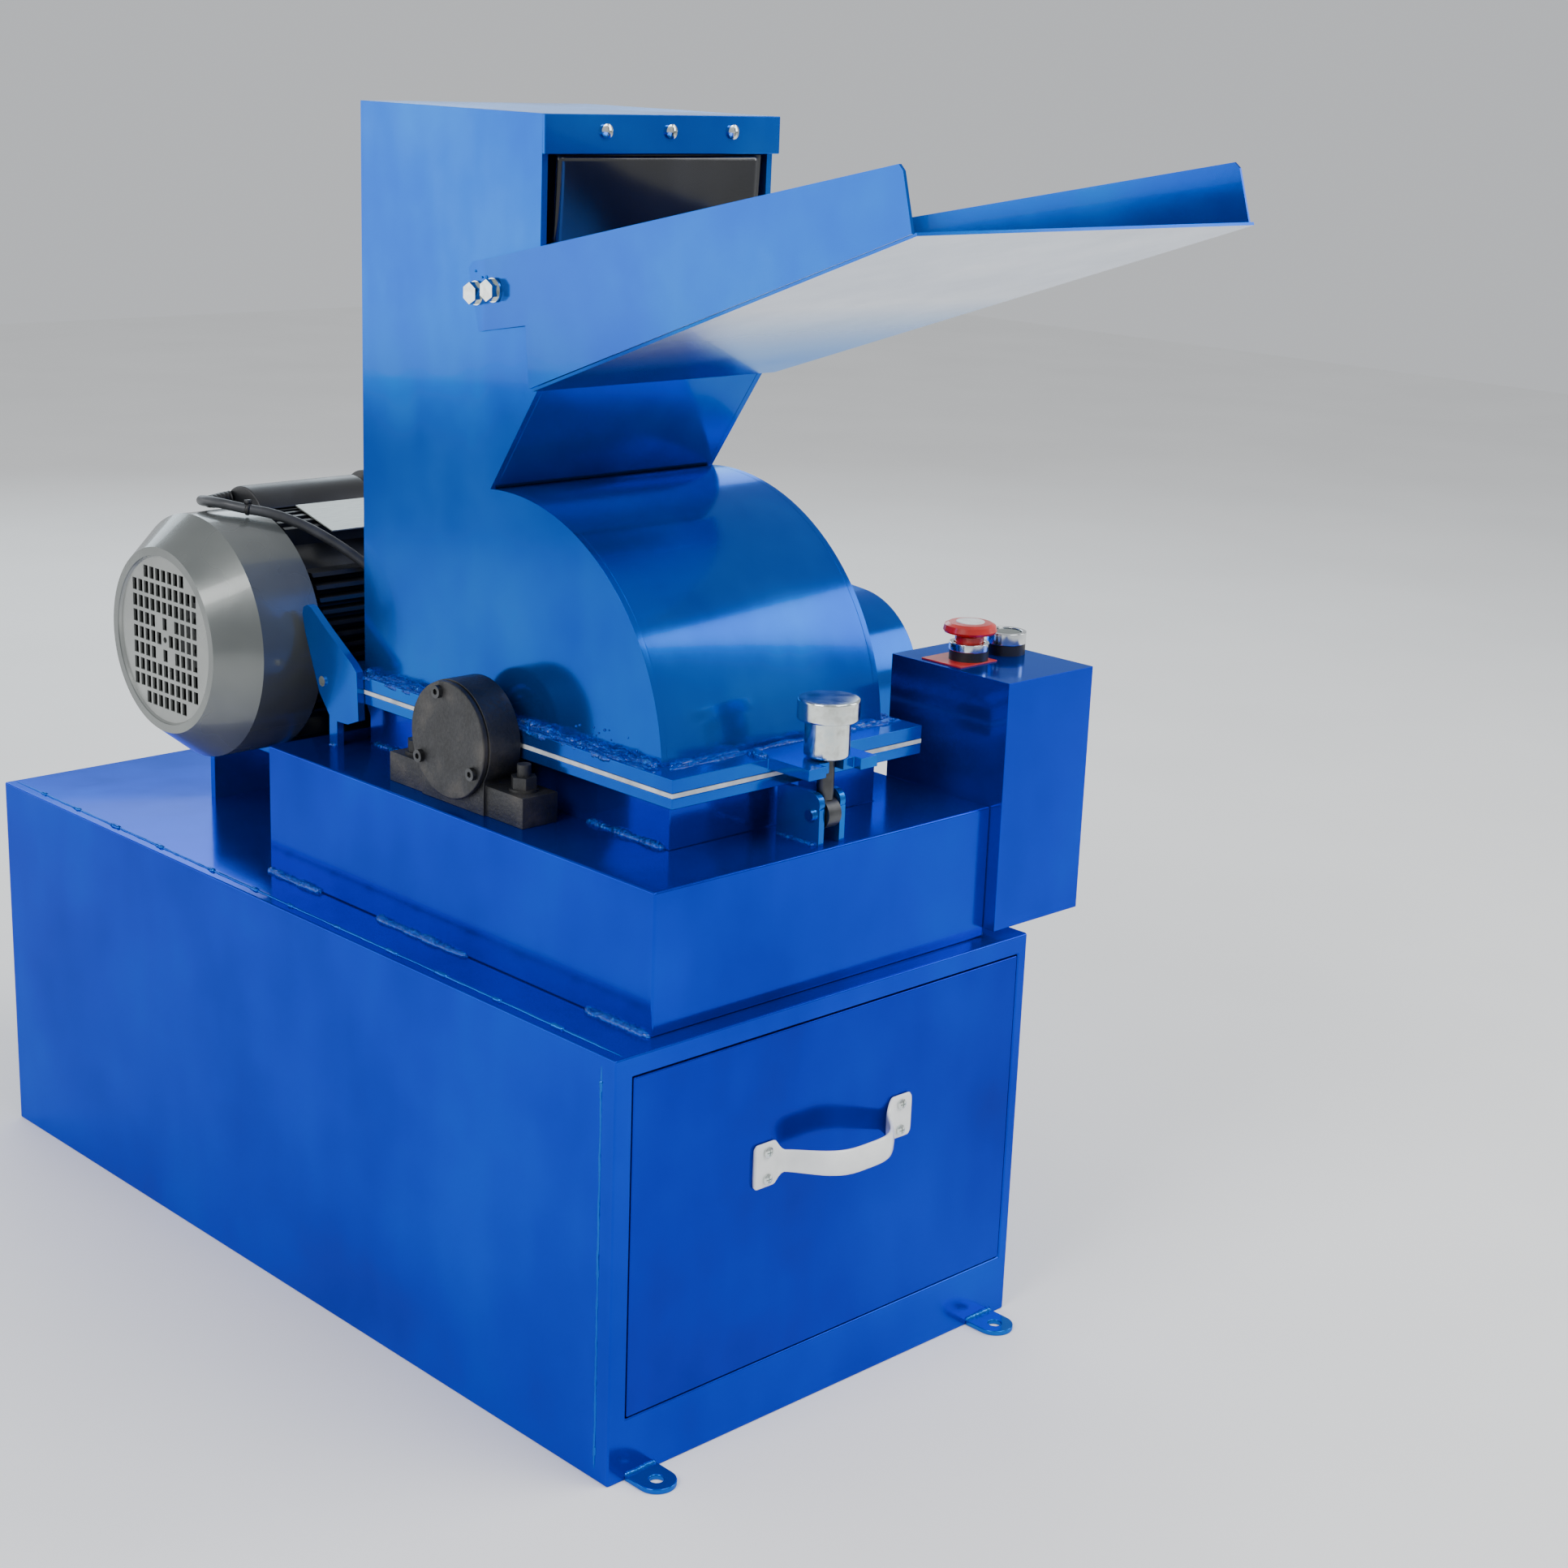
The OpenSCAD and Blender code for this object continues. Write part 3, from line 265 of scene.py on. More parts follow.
# Grey machine enamel on pressed sheet: even and wet, with the grille on its end face left paler.
def greyEnamel():
    m = newMaterial("greyMachineEnamel")
    place = addNode(m, "TexCoord").outputs["Object"]
    low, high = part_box("fan_cover")
    centre = (low + high) / 2
    across = addNode(m, "SeparateXYZ", {"Vector": place}).outputs["X"]
    fromFace = addNode(m, "Math", {0: across, 1: low.x + 6 * mm}, operation="LESS_THAN").outputs[0]
    clouds = noiseField(m, 90, detail=3)
    body = ramp(m, clouds, [(0.3, "#5f6361"), (0.5, "#686c6a"), (0.7, "#737774")])
    paleFace = ramp(m, noiseField(m, 40, detail=3), [(0.3, "#7d807e"), (0.6, "#8d908d"), (0.8, "#999c99")])
    away = addNode(m, "VectorMath", {0: place, 1: (0, -centre.y, -centre.z)}, operation="ADD").outputs[0]
    flat = addNode(m, "VectorMath", {0: away, 1: (0, 1, 1)}, operation="MULTIPLY").outputs[0]
    radius = addNode(m, "VectorMath", {0: flat}, operation="LENGTH").outputs["Value"]
    inGrille = addNode(m, "Math", {0: radius, 1: 66 * mm}, operation="LESS_THAN").outputs[0]
    both = addNode(m, "Math", {0: fromFace, 1: inGrille}, operation="MULTIPLY").outputs[0]
    colour = addNode(m, "MixRGB", {"Fac": both, "Color1": body, "Color2": paleFace}).outputs["Color"]
    return finishMaterial(m, {
        "Base Color": colour, "Metallic": 0.45, "Roughness": spread(m, clouds, 0.22, 0.3), "Coat Weight": 0.5,
        "Coat Roughness": 0.06,
    }, [(noiseField(m, 7, detail=2), 0.04), (noiseField(m, 50, detail=2), 0.5)])


# Black motor enamel over die-cast aluminium: satin, slightly dusty in broad patches.
def motorEnamel(name="blackMotorEnamel", dust="#33363b"):
    m = newMaterial(name)
    patches = noiseField(m, 45, detail=4)
    colour = ramp(m, patches, [(0.3, "#101114"), (0.55, "#1b1d21"), (0.8, dust)])
    return finishMaterial(m, {
        "Base Color": colour, "Roughness": spread(m, patches, 0.34, 0.5), "Coat Weight": 0.2,
        "Coat Roughness": 0.25,
    }, [(noiseField(m, 1.6, detail=3), 0.08)])


# Machined steel kept oiled: dark, turned or ground, with a thin brown film.
def oiledSteel(name="oiledMachinedSteel", low="#3a3b3d", high="#77797b", shine=0.32):
    m = newMaterial(name)
    film = noiseField(m, 24, detail=4)
    colour = ramp(m, film, [(0.3, low), (0.6, "#595a5c"), (0.8, high)])
    return finishMaterial(m, {
        "Base Color": colour, "Metallic": 1.0, "Roughness": spread(m, film, shine, shine + 0.16),
    }, [(noiseField(m, 0.8, detail=2, stretch=(4, 1, 1)), 0.03)])


# Pale fibre gasket squeezed between two flanges: dull and a little dirty.
def gasketFibre():
    m = newMaterial("paleFibreGasket")
    dirt = noiseField(m, 14, detail=4)
    colour = ramp(m, dirt, [(0.3, "#a3a8ab"), (0.6, "#c9cdd0"), (0.8, "#dcdfe1")])
    return finishMaterial(m, {"Base Color": colour, "Roughness": 0.7}, [(noiseField(m, 1.2), 0.1)])


# Smooth calendered rubber sheet: black and shiny, gently wavy, so it mirrors the light in soft curves.
def rubberSheet():
    m = newMaterial("glossyRubberSheet")
    waves = noiseField(m, 120, detail=2, stretch=(1, 1, 0.5))
    colour = ramp(m, noiseField(m, 60, detail=4), [(0.3, "#0b0c0e"), (0.6, "#15161a"), (0.85, "#24262b")])
    return finishMaterial(m, {
        "Base Color": colour, "Roughness": 0.16, "Specular IOR Level": 0.6, "Coat Weight": 0.3,
        "Coat Roughness": 0.1,
    }, [(waves, 2.5), (noiseField(m, 2.0), 0.02)])


# Moulded black thermoplastic, as on switch rings and glands: fine spark-eroded grain.
def blackPlastic(name="mouldedBlackPlastic", low="#0f1012", high="#1c1d20", rough=0.45):
    m = newMaterial(name)
    grain = noiseField(m, 0.7, detail=2)
    colour = ramp(m, noiseField(m, 12, detail=3), [(0.3, low), (0.7, high)])
    return finishMaterial(m, {"Base Color": colour, "Roughness": rough}, [(grain, 0.02)])


# Wrapped V-belt: dark rubberised cloth, matt, with a fine twill.
def beltRubber():
    m = newMaterial("wrappedBeltRubber")
    place = addNode(m, "TexCoord").outputs["Object"]
    weave = addNode(m, "TexWave", {"Vector": place, "Scale": 180, "Distortion": 0.5},
                    bands_direction="DIAGONAL")
    colour = ramp(m, noiseField(m, 18, detail=3), [(0.3, "#15161a"), (0.7, "#26262a")])
    return finishMaterial(m, {"Base Color": colour, "Roughness": 0.75}, [(weave.outputs["Fac"], 0.15)])


# Extruded PVC cable sheath: dark grey, satin, lightly dusty.
def cableSheath():
    m = newMaterial("greyPvcSheath")
    colour = ramp(m, noiseField(m, 20, detail=4), [(0.3, "#2b2d30"), (0.6, "#3d3f43"), (0.85, "#55575a")])
    return finishMaterial(m, {"Base Color": colour, "Roughness": 0.42}, [(noiseField(m, 1.5, detail=2), 0.05)])


# Glossy injection-moulded red, as on a stop button's head.
def redPlastic(name="glossyRedPlastic", low="#a8120c", high="#d9241a", rough=0.28):
    m = newMaterial(name)
    colour = ramp(m, noiseField(m, 25, detail=3), [(0.3, low), (0.7, high)])
    return finishMaterial(m, {
        "Base Color": colour, "Roughness": rough, "Coat Weight": 0.3, "Coat Roughness": 0.1,
    }, [(noiseField(m, 2.5), 0.02)])


# Smoked green lens of a start button: dark, smooth, glassy.
def greenLens():
    m = newMaterial("darkGreenLens")
    colour = ramp(m, noiseField(m, 10, detail=2), [(0.3, "#0d1d18"), (0.7, "#1d3a30")])
    return finishMaterial(m, {
        "Base Color": colour, "Roughness": 0.12, "Coat Weight": 0.5, "Coat Roughness": 0.05,
    }, [(noiseField(m, 4), 0.03)])


# White stove enamel on a pressed pull: clean, wet and faintly cloudy.
def whiteEnamel():
    m = newMaterial("whiteStoveEnamel")
    colour = ramp(m, noiseField(m, 30, detail=3), [(0.3, "#dcdedd"), (0.6, "#eceeed"), (0.8, "#f4f5f4")])
    return finishMaterial(m, {
        "Base Color": colour, "Roughness": 0.25, "Coat Weight": 0.6, "Coat Roughness": 0.07,
    }, [(noiseField(m, 5, detail=2), 0.03)])


# Turned chrome rings under the buttons: mirror bright, faintly fogged.
def bezelChrome():
    m = newMaterial("turnedChromeBezel")
    fog = noiseField(m, 8, detail=2)
    colour = ramp(m, fog, [(0.3, "#c4c8ca"), (0.7, "#dfe2e3")])
    return finishMaterial(m, {"Base Color": colour, "Metallic": 1.0, "Roughness": spread(m, fog, 0.12, 0.2)})


# Thin anodised aluminium plate: pale, brushed one way.
def brushedPlate():
    m = newMaterial("brushedAluminiumPlate")
    brush = noiseField(m, 1.2, detail=3, stretch=(0.08, 1, 1))
    colour = ramp(m, brush, [(0.3, "#b4bab6"), (0.7, "#d5dad5")])
    return finishMaterial(m, {
        "Base Color": colour, "Metallic": 0.7, "Roughness": spread(m, brush, 0.3, 0.45),
    }, [(brush, 0.02)])


print("making materials")
paint = blueEnamel()
# Darker copies of the same blue enamel: painted shade on the cabinet, pedestal, lower housing and control box,
# and deeper painted shade on the drawer front.
shadedLowerPaint = blueEnamel("blueGlossEnamelShadedLower", deep="#0024a2", mid="#002eb2", light="#003ebe")
shadedDrawerPaint = blueEnamel("blueGlossEnamelShadedDrawer", deep="#00188e", mid="#0020a2", light="#002cb0")
trayPaint = trayEnamel()
weldPaint = weldEnamel()
zinc = zincPlate()
casting = castIronPaint()
grey = greyEnamel()
motorPaint = motorEnamel()
steel = oiledSteel()
shaftSteel = oiledSteel("oiledGroundShaft", low="#5a5c5e", high="#9a9c9d", shine=0.22)
fibre = gasketFibre()
rubber = rubberSheet()
plastic = blackPlastic()
beltCloth = beltRubber()
sheath = cableSheath()
red = redPlastic()
redLabel = redPlastic("redLegendSheet", low="#a61713", high="#c5241d", rough=0.4)
green = greenLens()
white = whiteEnamel()
discWhite = blackPlastic("whitePrintedDisc", low="#c9ccca", high="#e6e8e6", rough=0.4)
plate = brushedPlate()
chrome = bezelChrome()

finishOf = {
    "blue_enamel": paint, "zinc": zinc, "black_casting": casting, "grey_enamel": grey,
    "black_enamel": motorPaint, "dark_steel": steel, "gasket_strip": fibre, "black_rubber": beltCloth,
    "black_plastic": plastic, "red_plastic": red, "green_plastic": green, "white_handle": white,
    "nameplate": plate,
}
slotOf = {part["node"]: part["material_slot"] for part in frame["record"]["subparts"]}
# The lower parts and the drawer front take the darker copies of the enamel, which are painted shade.
special = {
    "base_cabinet": shadedLowerPaint, "pedestal": shadedLowerPaint, "lower_housing": shadedLowerPaint,
    "control_box": shadedLowerPaint, "control_box_cover": shadedLowerPaint, "drawer_front": shadedDrawerPaint,
    "feed_tray": trayPaint, "legend_plate": redLabel, "button_collars": chrome, "rotor_shaft": shaftSteel,
    "eye_bolt": steel, "bearing_screws": steel, "bearing_bolts": casting, "motor_cable": sheath,
}


def finishFor(nodeName):
    return special.get(nodeName, finishOf[slotOf[nodeName]])


bodyOf = {}
for bodyName, members in frame["record"]["behaviour"]["bodies"].items():
    for nodeName in members:
        bodyOf[nodeName] = bodyName

for nodeName, node in nodes.items():
    node.data.materials.clear()
    node.data.materials.append(finishFor(nodeName))


# Edge radius in millimetres for each folded, cut or cast part
edgeRadius = {
    "base_cabinet": 1.4, "pedestal": 1.6, "lower_housing": 0.8, "lower_flange": 0.8, "upper_flange": 0.9,
    "casing_sides": 0.7, "casing_scroll": 0.4, "feed_tray": 0.5, "curtain_strip": 0.6,
    "drawer_front": 1.0, "anchor_feet": 0.8, "hinge_brackets": 1.4, "clamp_clevis": 0.9, "motor_mount": 1.2,
    "control_box": 1.2, "control_box_cover": 0.5, "belt_guard": 1.6, "guard_back_plate": 0.6,
    "bearing_housings": 2.4, "bearing_caps": 1.2, "bearing_bolts": 0.5, "capacitor_covers": 1.6,
    "terminal_box": 2.0,
    "clamp_nut": 0.6, "button_collars": 0.6, "motor_bolts": 0.4, "tray_bolts": 0.4, "legend_plate": 0.3,
}
print("rounding edges")
for nodeName, radius in edgeRadius.items():
    roundedCopy(nodeName, finishFor(nodeName), bodyOf[nodeName], radius)


# A round bead from start to end: its radius swells once a ripple, wobbles at random and closes at both ends.
def weldBead(start, end, radius, seed, ripple=3.2, wander=0.5, rough=0.22):
    random = np.random.default_rng(seed)
    start, end = np.asarray(start, float), np.asarray(end, float)
    length = np.linalg.norm(end - start)
    count = max(8, int(length / 1.1))
    sides = 10
    t = np.linspace(0, 1, count)
    direction = (end - start) / length
    side = np.cross(direction, [0.13, 0.21, 0.97])
    side = side / np.linalg.norm(side)
    third = np.cross(direction, side)
    wave = 1 + 0.14 * np.abs(np.sin(np.pi * t * length / ripple))
    knots = np.linspace(0, 1, max(4, int(length / 7)))
    slow = np.interp(t, knots, random.uniform(-rough, rough, len(knots)))
    closing = np.sqrt(np.clip(1 - (2 * t - 1) ** 16, 0.0, 1))
    size = radius * (wave + slow) * np.maximum(closing, 0.04)
    angle = np.linspace(0, 2 * np.pi, sides, endpoint=False)
    lumps = 1 + random.uniform(-0.12, 0.12, (count, sides))
    shift = np.interp(t, knots, random.uniform(-wander, wander, len(knots)))
    centre = start + direction * length * t[:, None] + side * shift[:, None]
    rings = centre[:, None] + (size[:, None] * lumps)[..., None] * (
        np.cos(angle)[None, :, None] * side + np.sin(angle)[None, :, None] * third)
    return gridMesh("bead", asMetres(rings))


# Small balls of weld metal, one at each centre: circles of latitude whose radius is the cosine of the rise.
def spatter(centres, radius, seed):
    random = np.random.default_rng(seed)
    drops = []
    for centre in np.asarray(centres, float):
        size = radius * random.uniform(0.55, 1.25)
        rise = np.linspace(-np.pi / 2, np.pi / 2, 6)
        turn = np.linspace(0, 2 * np.pi, 8, endpoint=False)
        across = np.maximum(np.cos(rise), 0.03)
        rings = np.stack([across[:, None] * np.cos(turn), across[:, None] * np.sin(turn),
                          np.sin(rise)[:, None] * np.ones_like(turn)], axis=-1)
        drops.append(gridMesh("drop", asMetres(centre + size * rings)))
    return drops


def mmBox(nodeName):
    low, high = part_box(nodeName)
    return np.array(low) / mm, np.array(high) / mm


pedLow, pedHigh = mmBox("pedestal")
baseLow, baseHigh = mmBox("base_cabinet")
houseLow, houseHigh = mmBox("lower_housing")
scrollLow = mmBox("casing_scroll")[0]
sideLow, sideHigh = mmBox("casing_sides")
mountLow, mountHigh = mmBox("motor_mount")

weldSizes = {"foot": 3.4, "flange": 3.6, "seam": 0.9, "corner": 2.2, "small": 2.0, "drop": 1.3,
             "smallDrop": 1.0, "trayDrop": 1.2, "dropsEachSide": 110}


# Stitch welds along the feet of the pedestal, the lower housing and the motor's channel.
def footWelds():
    r = weldSizes["foot"]
    top = baseHigh[2]
    beads = []
    seed = 10
    for x in (pedLow[0], pedHigh[0]):
        for y0, y1 in ((63, -7), (-78, -187), (-317, -383)):
            beads.append(weldBead((x, y0, top), (x, y1, top), r, seed, rough=0.35))
            outer = x + (1.6 if x > 0 else -1.6)
            beads.append(weldBead((outer, y0 - 3, top), (outer, y1 + 6, top), r * 0.7, seed + 1, rough=0.4))
            seed += 2
    for x in (houseLow[0], houseHigh[0]):
        for y0, y1 in ((18, -30), (-236, -318)):
            beads.append(weldBead((x, y0, pedHigh[2]), (x, y1, pedHigh[2]), r, seed, rough=0.35))
            seed += 1
    for x0, x1 in ((-60, 0), (40, 96)):
        beads.append(weldBead((x0, houseHigh[1], pedHigh[2]), (x1, houseHigh[1], pedHigh[2]), r * 0.8, seed))
        seed += 1
    for y in (mountLow[1], mountHigh[1]):
        for x0, x1 in ((mountLow[0] + 8, mountLow[0] + 50), (mountHigh[0] - 52, mountHigh[0] - 8)):
            beads.append(weldBead((x0, y, top), (x1, y, top), r * 0.8, seed))
            seed += 1
    return beads


# Fine seams where the cabinet's sheets meet, with tack welds along them, and short beads at the anchor feet.
def cabinetSeams():
    r = weldSizes["seam"]
    x0, y0 = baseLow[:2]
    y1, top = baseHigh[1:]
    beads = [weldBead((x0 + 9, y0 + 4, top), (x0 + 9, y1 - 4, top), r, 60, wander=0.3),
             weldBead((x0 + 0.3, y0 + 14, 8), (x0 + 0.3, y0 + 14, top - 4), r, 61, wander=0.3)]
    random = np.random.default_rng(62)
    for y in np.arange(y0 + 60, y1 - 30, 62):
        y = y + random.uniform(-12, 12)
        end = (x0 + 9, y + random.uniform(7, 16), top)
        beads.append(weldBead((x0 + 9, y, top), end, r * 1.9, int(y) % 97 + 70))
    for z in (18, 150, top - 26):
        beads.append(weldBead((x0 + 1, y0 + 14, z), (x0 + 1, y0 + 14, z + 9), r * 1.8, int(z) + 3, wander=0.2))
    for sx in (-1, 1):
        for sy in (-1, 1):
            beads.append(weldBead((sx * 171 - 14, sy * 400, 4), (sx * 171 + 14, sy * 400, 4),
                                  weldSizes["corner"], 90 + sx + 3 * sy))
    return beads


# Beads under the lower flange and at the feet of the clamp's clevis and the hinge plates.
def frameTrim():
    r = weldSizes["small"]
    lowZ = mmBox("lower_flange")[0][2]
    beads = []
    for x in (houseLow[0], houseHigh[0]):
        beads.append(weldBead((x, -318, lowZ), (x, 20, lowZ), r, 111, rough=0.3))
    clevisLow, clevisHigh = mmBox("clamp_clevis")
    z = pedHigh[2]
    for x in (clevisLow[0], clevisHigh[0]):
        beads.append(weldBead((x, clevisLow[1] + 3, z), (x, clevisHigh[1], z), r * 1.1, int(x) + 130))
    for x in (mmBox("hinge_brackets")[0][0], mmBox("hinge_brackets")[1][0]):
        beads.append(weldBead((x, 29, z), (x, 37, z), r * 1.2, int(x) + 330))
    return beads


# Heavy rough beads between the casing and its flange, with spatter beside them.
def flangeWelds():
    r = weldSizes["flange"]
    top = mmBox("casing_back")[0][2]
    beads = []
    seed = 200
    for s, x in ((-1, sideLow[0]), (1, sideHigh[0])):
        for y0, y1 in ((18, -72), (-70, -152), (-150, -236), (-234, -318)):
            for row in range(4):
                out, y0, y1 = 1 + 3.9 * row, y0 - 2 * row, y1 - 2 * row * (y1 > -300)
                beads.append(weldBead((x + s * out, y0, top - 1.1), (x + s * out, y1, top - 1.1),
                                      r * (1 - 0.17 * row), seed, ripple=4.2, wander=1.9, rough=0.6))
                seed += 1
    for x0, x1 in ((-90, -26), (44, 110)):
        for row in range(3):
            y = scrollLow[1] - 1 - 3.6 * row
            beads.append(weldBead((x0 - 3 * row, y, top - 1.1), (x1 + 3 * row, y, top - 1.1),
                                  r * (1 - 0.18 * row), seed, rough=0.6, wander=1.6))
            seed += 1
    for x in (-23, 43):
        beads.append(weldBead((x, -346, top), (x, -328, top), r * 0.8, seed, rough=0.4))
        seed += 1
    beads.append(weldBead((-20, -327, top), (40, -327, top), r * 0.9, seed, rough=0.5, wander=1.4))
    random = np.random.default_rng(230)
    spots = [(x + s * random.uniform(3, 13), random.uniform(-330, 20), top)
             for s, x in ((-1, sideLow[0]), (1, sideHigh[0])) for _ in range(weldSizes["dropsEachSide"])]
    beads += spatter(spots, weldSizes["drop"], 231)
    near = [(sideLow[0], random.uniform(-300, -212), top + random.uniform(2, 14)) for _ in range(14)]
    return beads + spatter(near, weldSizes["smallDrop"], 232)


# Drops of weld metal on the tower's side above the tray's bolts.
def traySpots():
    random = np.random.default_rng(240)
    spots = [(-97.9, random.uniform(-150, -112), random.uniform(772, 782)) for _ in range(5)]
    return spatter(spots, weldSizes["trayDrop"], 241)


print("making weld beads")
addPiece("footWelds", footWelds(), weldPaint, "frame")
addPiece("cabinetSeams", cabinetSeams(), paint, "frame")
addPiece("frameTrim", frameTrim(), weldPaint, "frame")
addPiece("flangeWelds", flangeWelds(), weldPaint, "casing")
addPiece("traySpatter", traySpots(), paint, "casing")


handleSizes = {"plateHalf": 16.5, "gripHalf": 9.5, "neckHalf": 8.0, "thick": 3.0, "plateLong": 22.0,
               "corner": 2.4, "crown": 1.3, "archPower": 1.75}


# A flat bar carried along a path whose distance from the drawer is a half cosine of the way from the middle:
# wide where it lies on the drawer, narrow at the neck, slightly crowned over the grip.
def pullHandle():
    low, high = mmBox("drawer_handle")
    size = handleSizes
    front = high[1]
    middle = (low[0] + high[0]) / 2
    half = (high[0] - low[0]) / 2
    reach = front - low[1] - size["thick"] / 2
    height = (low[2] + high[2]) / 2
    t = np.linspace(-1, 1, 97)
    along = t * half
    fromEnd = half - np.abs(along)
    fromMiddle = np.clip(np.abs(along) / (half - size["plateLong"] + 3), 0, 1)
    rise = 0.5 + 0.5 * np.cos(np.pi * fromMiddle ** size["archPower"])
    out = size["thick"] / 2 + (reach - size["thick"] / 2) * rise
    corner = np.sqrt(np.clip(1 - np.clip(1 - fromEnd / size["corner"], 0, 1) ** 2, 0.02, 1))
    onPlate = np.clip((size["plateLong"] + 4 - fromEnd) / 8, 0, 1)
    onPlate = onPlate * onPlate * (3 - 2 * onPlate)
    grip = size["neckHalf"] + (size["gripHalf"] - size["neckHalf"]) * rise
    wide = grip + (size["plateHalf"] - grip) * onPlate
    wide = wide - size["corner"] * (1 - corner) * (fromEnd < size["corner"])
    centre = np.stack([middle + along, front - out, np.full_like(t, height)], axis=-1)
    tangent = np.gradient(centre, axis=0)
    tangent /= np.linalg.norm(tangent, axis=1)[:, None]
    up = np.array([0, 0, 1.0])
    normal = np.cross(tangent, up)
    angle = np.linspace(0, 2 * np.pi, 28, endpoint=False)
    flat = np.sign(np.cos(angle)) * np.abs(np.cos(angle)) ** 0.35
    deep = np.sign(np.sin(angle)) * np.abs(np.sin(angle)) ** 0.6
    crown = size["crown"] * rise[:, None] * (1 - flat[None, :] ** 2)
    rings = (centre[:, None] + (wide[:, None] * flat[None, :])[..., None] * up
             + (size["thick"] / 2 * deep[None, :] + crown)[..., None] * normal[:, None])
    return gridMesh("pullHandle", asMetres(rings))


print("making the handle")
addPiece("pullHandle", [pullHandle()], white, "drawer", replaced=["drawer_handle"])


curtainSizes = {"lean": 9.0, "bow": 5.0, "thick": 2.6}


# A sheet from the strip down: it leans inward with depth, and its middle bows out as the product of two sines.
def feedCurtain():
    low, high = mmBox("feed_curtain")
    size = curtainSizes
    u, v = np.meshgrid(np.linspace(0, 1, 33), np.linspace(0, 1, 33))
    x = low[0] + 1 + (high[0] - low[0] - 2) * u
    bowed = size["bow"] * np.sin(np.pi * u) * np.sin(np.pi * v * 0.75)
    y = (low[1] + high[1]) / 2 + size["lean"] * v ** 1.4 - bowed
    y = y + size["bow"] * 0.55 * v
    z = high[2] + (low[2] + 1 - high[2]) * v
    return gridMesh("feedCurtain", asMetres(np.stack([x, y, z], axis=-1)), around=False)


print("making the curtain")
curtain = addPiece("feedCurtain", [feedCurtain()], rubber, "curtain", replaced=["feed_curtain"])
solid = curtain.modifiers.new("thickness", "SOLIDIFY")
solid.thickness = curtainSizes["thick"] * mm
solid.offset = 0


cableSizes = {"diameter": 8.0, "cuts": 6, "sleeveWide": 6.8, "sleeveNarrow": 4.5, "sleeveLong": 26.0, "ribs": 6,
              "glandDeep": 17.0, "tieAt": 100.0, "tieLong": 3.6}
cableRoute = [
    (-85.3, 219, 566), (-91, 219, 566), (-109, 214, 567), (-123, 202, 571), (-129, 185, 574),
    (-126, 167, 574), (-116, 153, 571.5), (-100, 138.5, 568), (-83, 125, 560.5), (-66, 112.5, 549.3),
    (-51, 100.2, 536.7), (-38, 88.3, 522.2), (-28, 78.5, 505), (-18, 72.5, 482), (-7, 70, 462),
    (8, 69, 446), (30, 69, 435), (54, 69, 428), (80, 69, 422), (106, 70, 417), (126, 71, 414),
    (141, 71, 413), (155, 69, 412.5), (167, 62.5, 412), (176, 51.5, 410), (180, 38, 407),
    (181, 10, 401), (180, -40, 393), (180, -90, 386), (180, -140, 381), (182, -180, 378),
    (189, -215, 377), (197, -245, 376), (200, -264, 376), (200, -278.7, 376),
]


# Cubic stretches through the points, each leaving a point along the line between its neighbours.
def smoothRoute(points, cuts):
    points = np.asarray(points, float)
    before = np.vstack([points[:1], points[:-2]])
    after = np.vstack([points[2:], points[-1:]])
    a, b = points[:-1], points[1:]
    m, n = (b - before) / 2, (after - a) / 2
    t = (np.arange(cuts) / cuts)[None, :, None]
    path = ((2 * t ** 3 - 3 * t ** 2 + 1) * a[:, None] + (t ** 3 - 2 * t ** 2 + t) * m[:, None]
            + (3 * t ** 2 - 2 * t ** 3) * b[:, None] + (t ** 3 - t ** 2) * n[:, None])
    return np.vstack([path.reshape(-1, 3), points[-1:]])


# Circles of the given radii, square to the path's direction; each starts at the cross product of that
# direction with one fixed direction.
def tubeAlong(path, radii, sides=16):
    tangent = np.gradient(path, axis=0)
    tangent /= np.linalg.norm(tangent, axis=1)[:, None]
    side = np.cross(tangent, [0.31, 0.17, 0.93])
    side /= np.linalg.norm(side, axis=1)[:, None]
    third = np.cross(tangent, side)
    angle = np.linspace(0, 2 * np.pi, sides, endpoint=False)
    rings = path[:, None] + np.asarray(radii)[:, None, None] * (
        np.cos(angle)[None, :, None] * side[:, None] + np.sin(angle)[None, :, None] * third[:, None])
    return rings


print("laying the cable")
route = smoothRoute(cableRoute, cableSizes["cuts"])
cableRings = tubeAlong(route, np.full(len(route), cableSizes["diameter"] / 2))
cable = addPiece("motorCable", [gridMesh("motorCable", asMetres(cableRings))], sheath, "frame",
                 replaced=["motor_cable"])
distance = np.append(0, np.cumsum(np.linalg.norm(np.diff(route, axis=0), axis=1)))


# A bend-relief sleeve on a stretch of the cable: its radius falls evenly, and a square wave adds the ribs.
def cableSleeve(start, end):
    size = cableSizes
    t = np.linspace(0, 1, 49)
    path = np.stack([np.interp(start + (end - start) * t, distance, route[:, k]) for k in range(3)], axis=-1)
    radii = size["sleeveWide"] + (size["sleeveNarrow"] - size["sleeveWide"]) * t
    radii = radii + 0.3 * (np.sin(2 * np.pi * size["ribs"] * t) > 0)
    return gridMesh("sleeve", asMetres(tubeAlong(path, radii, 20)))


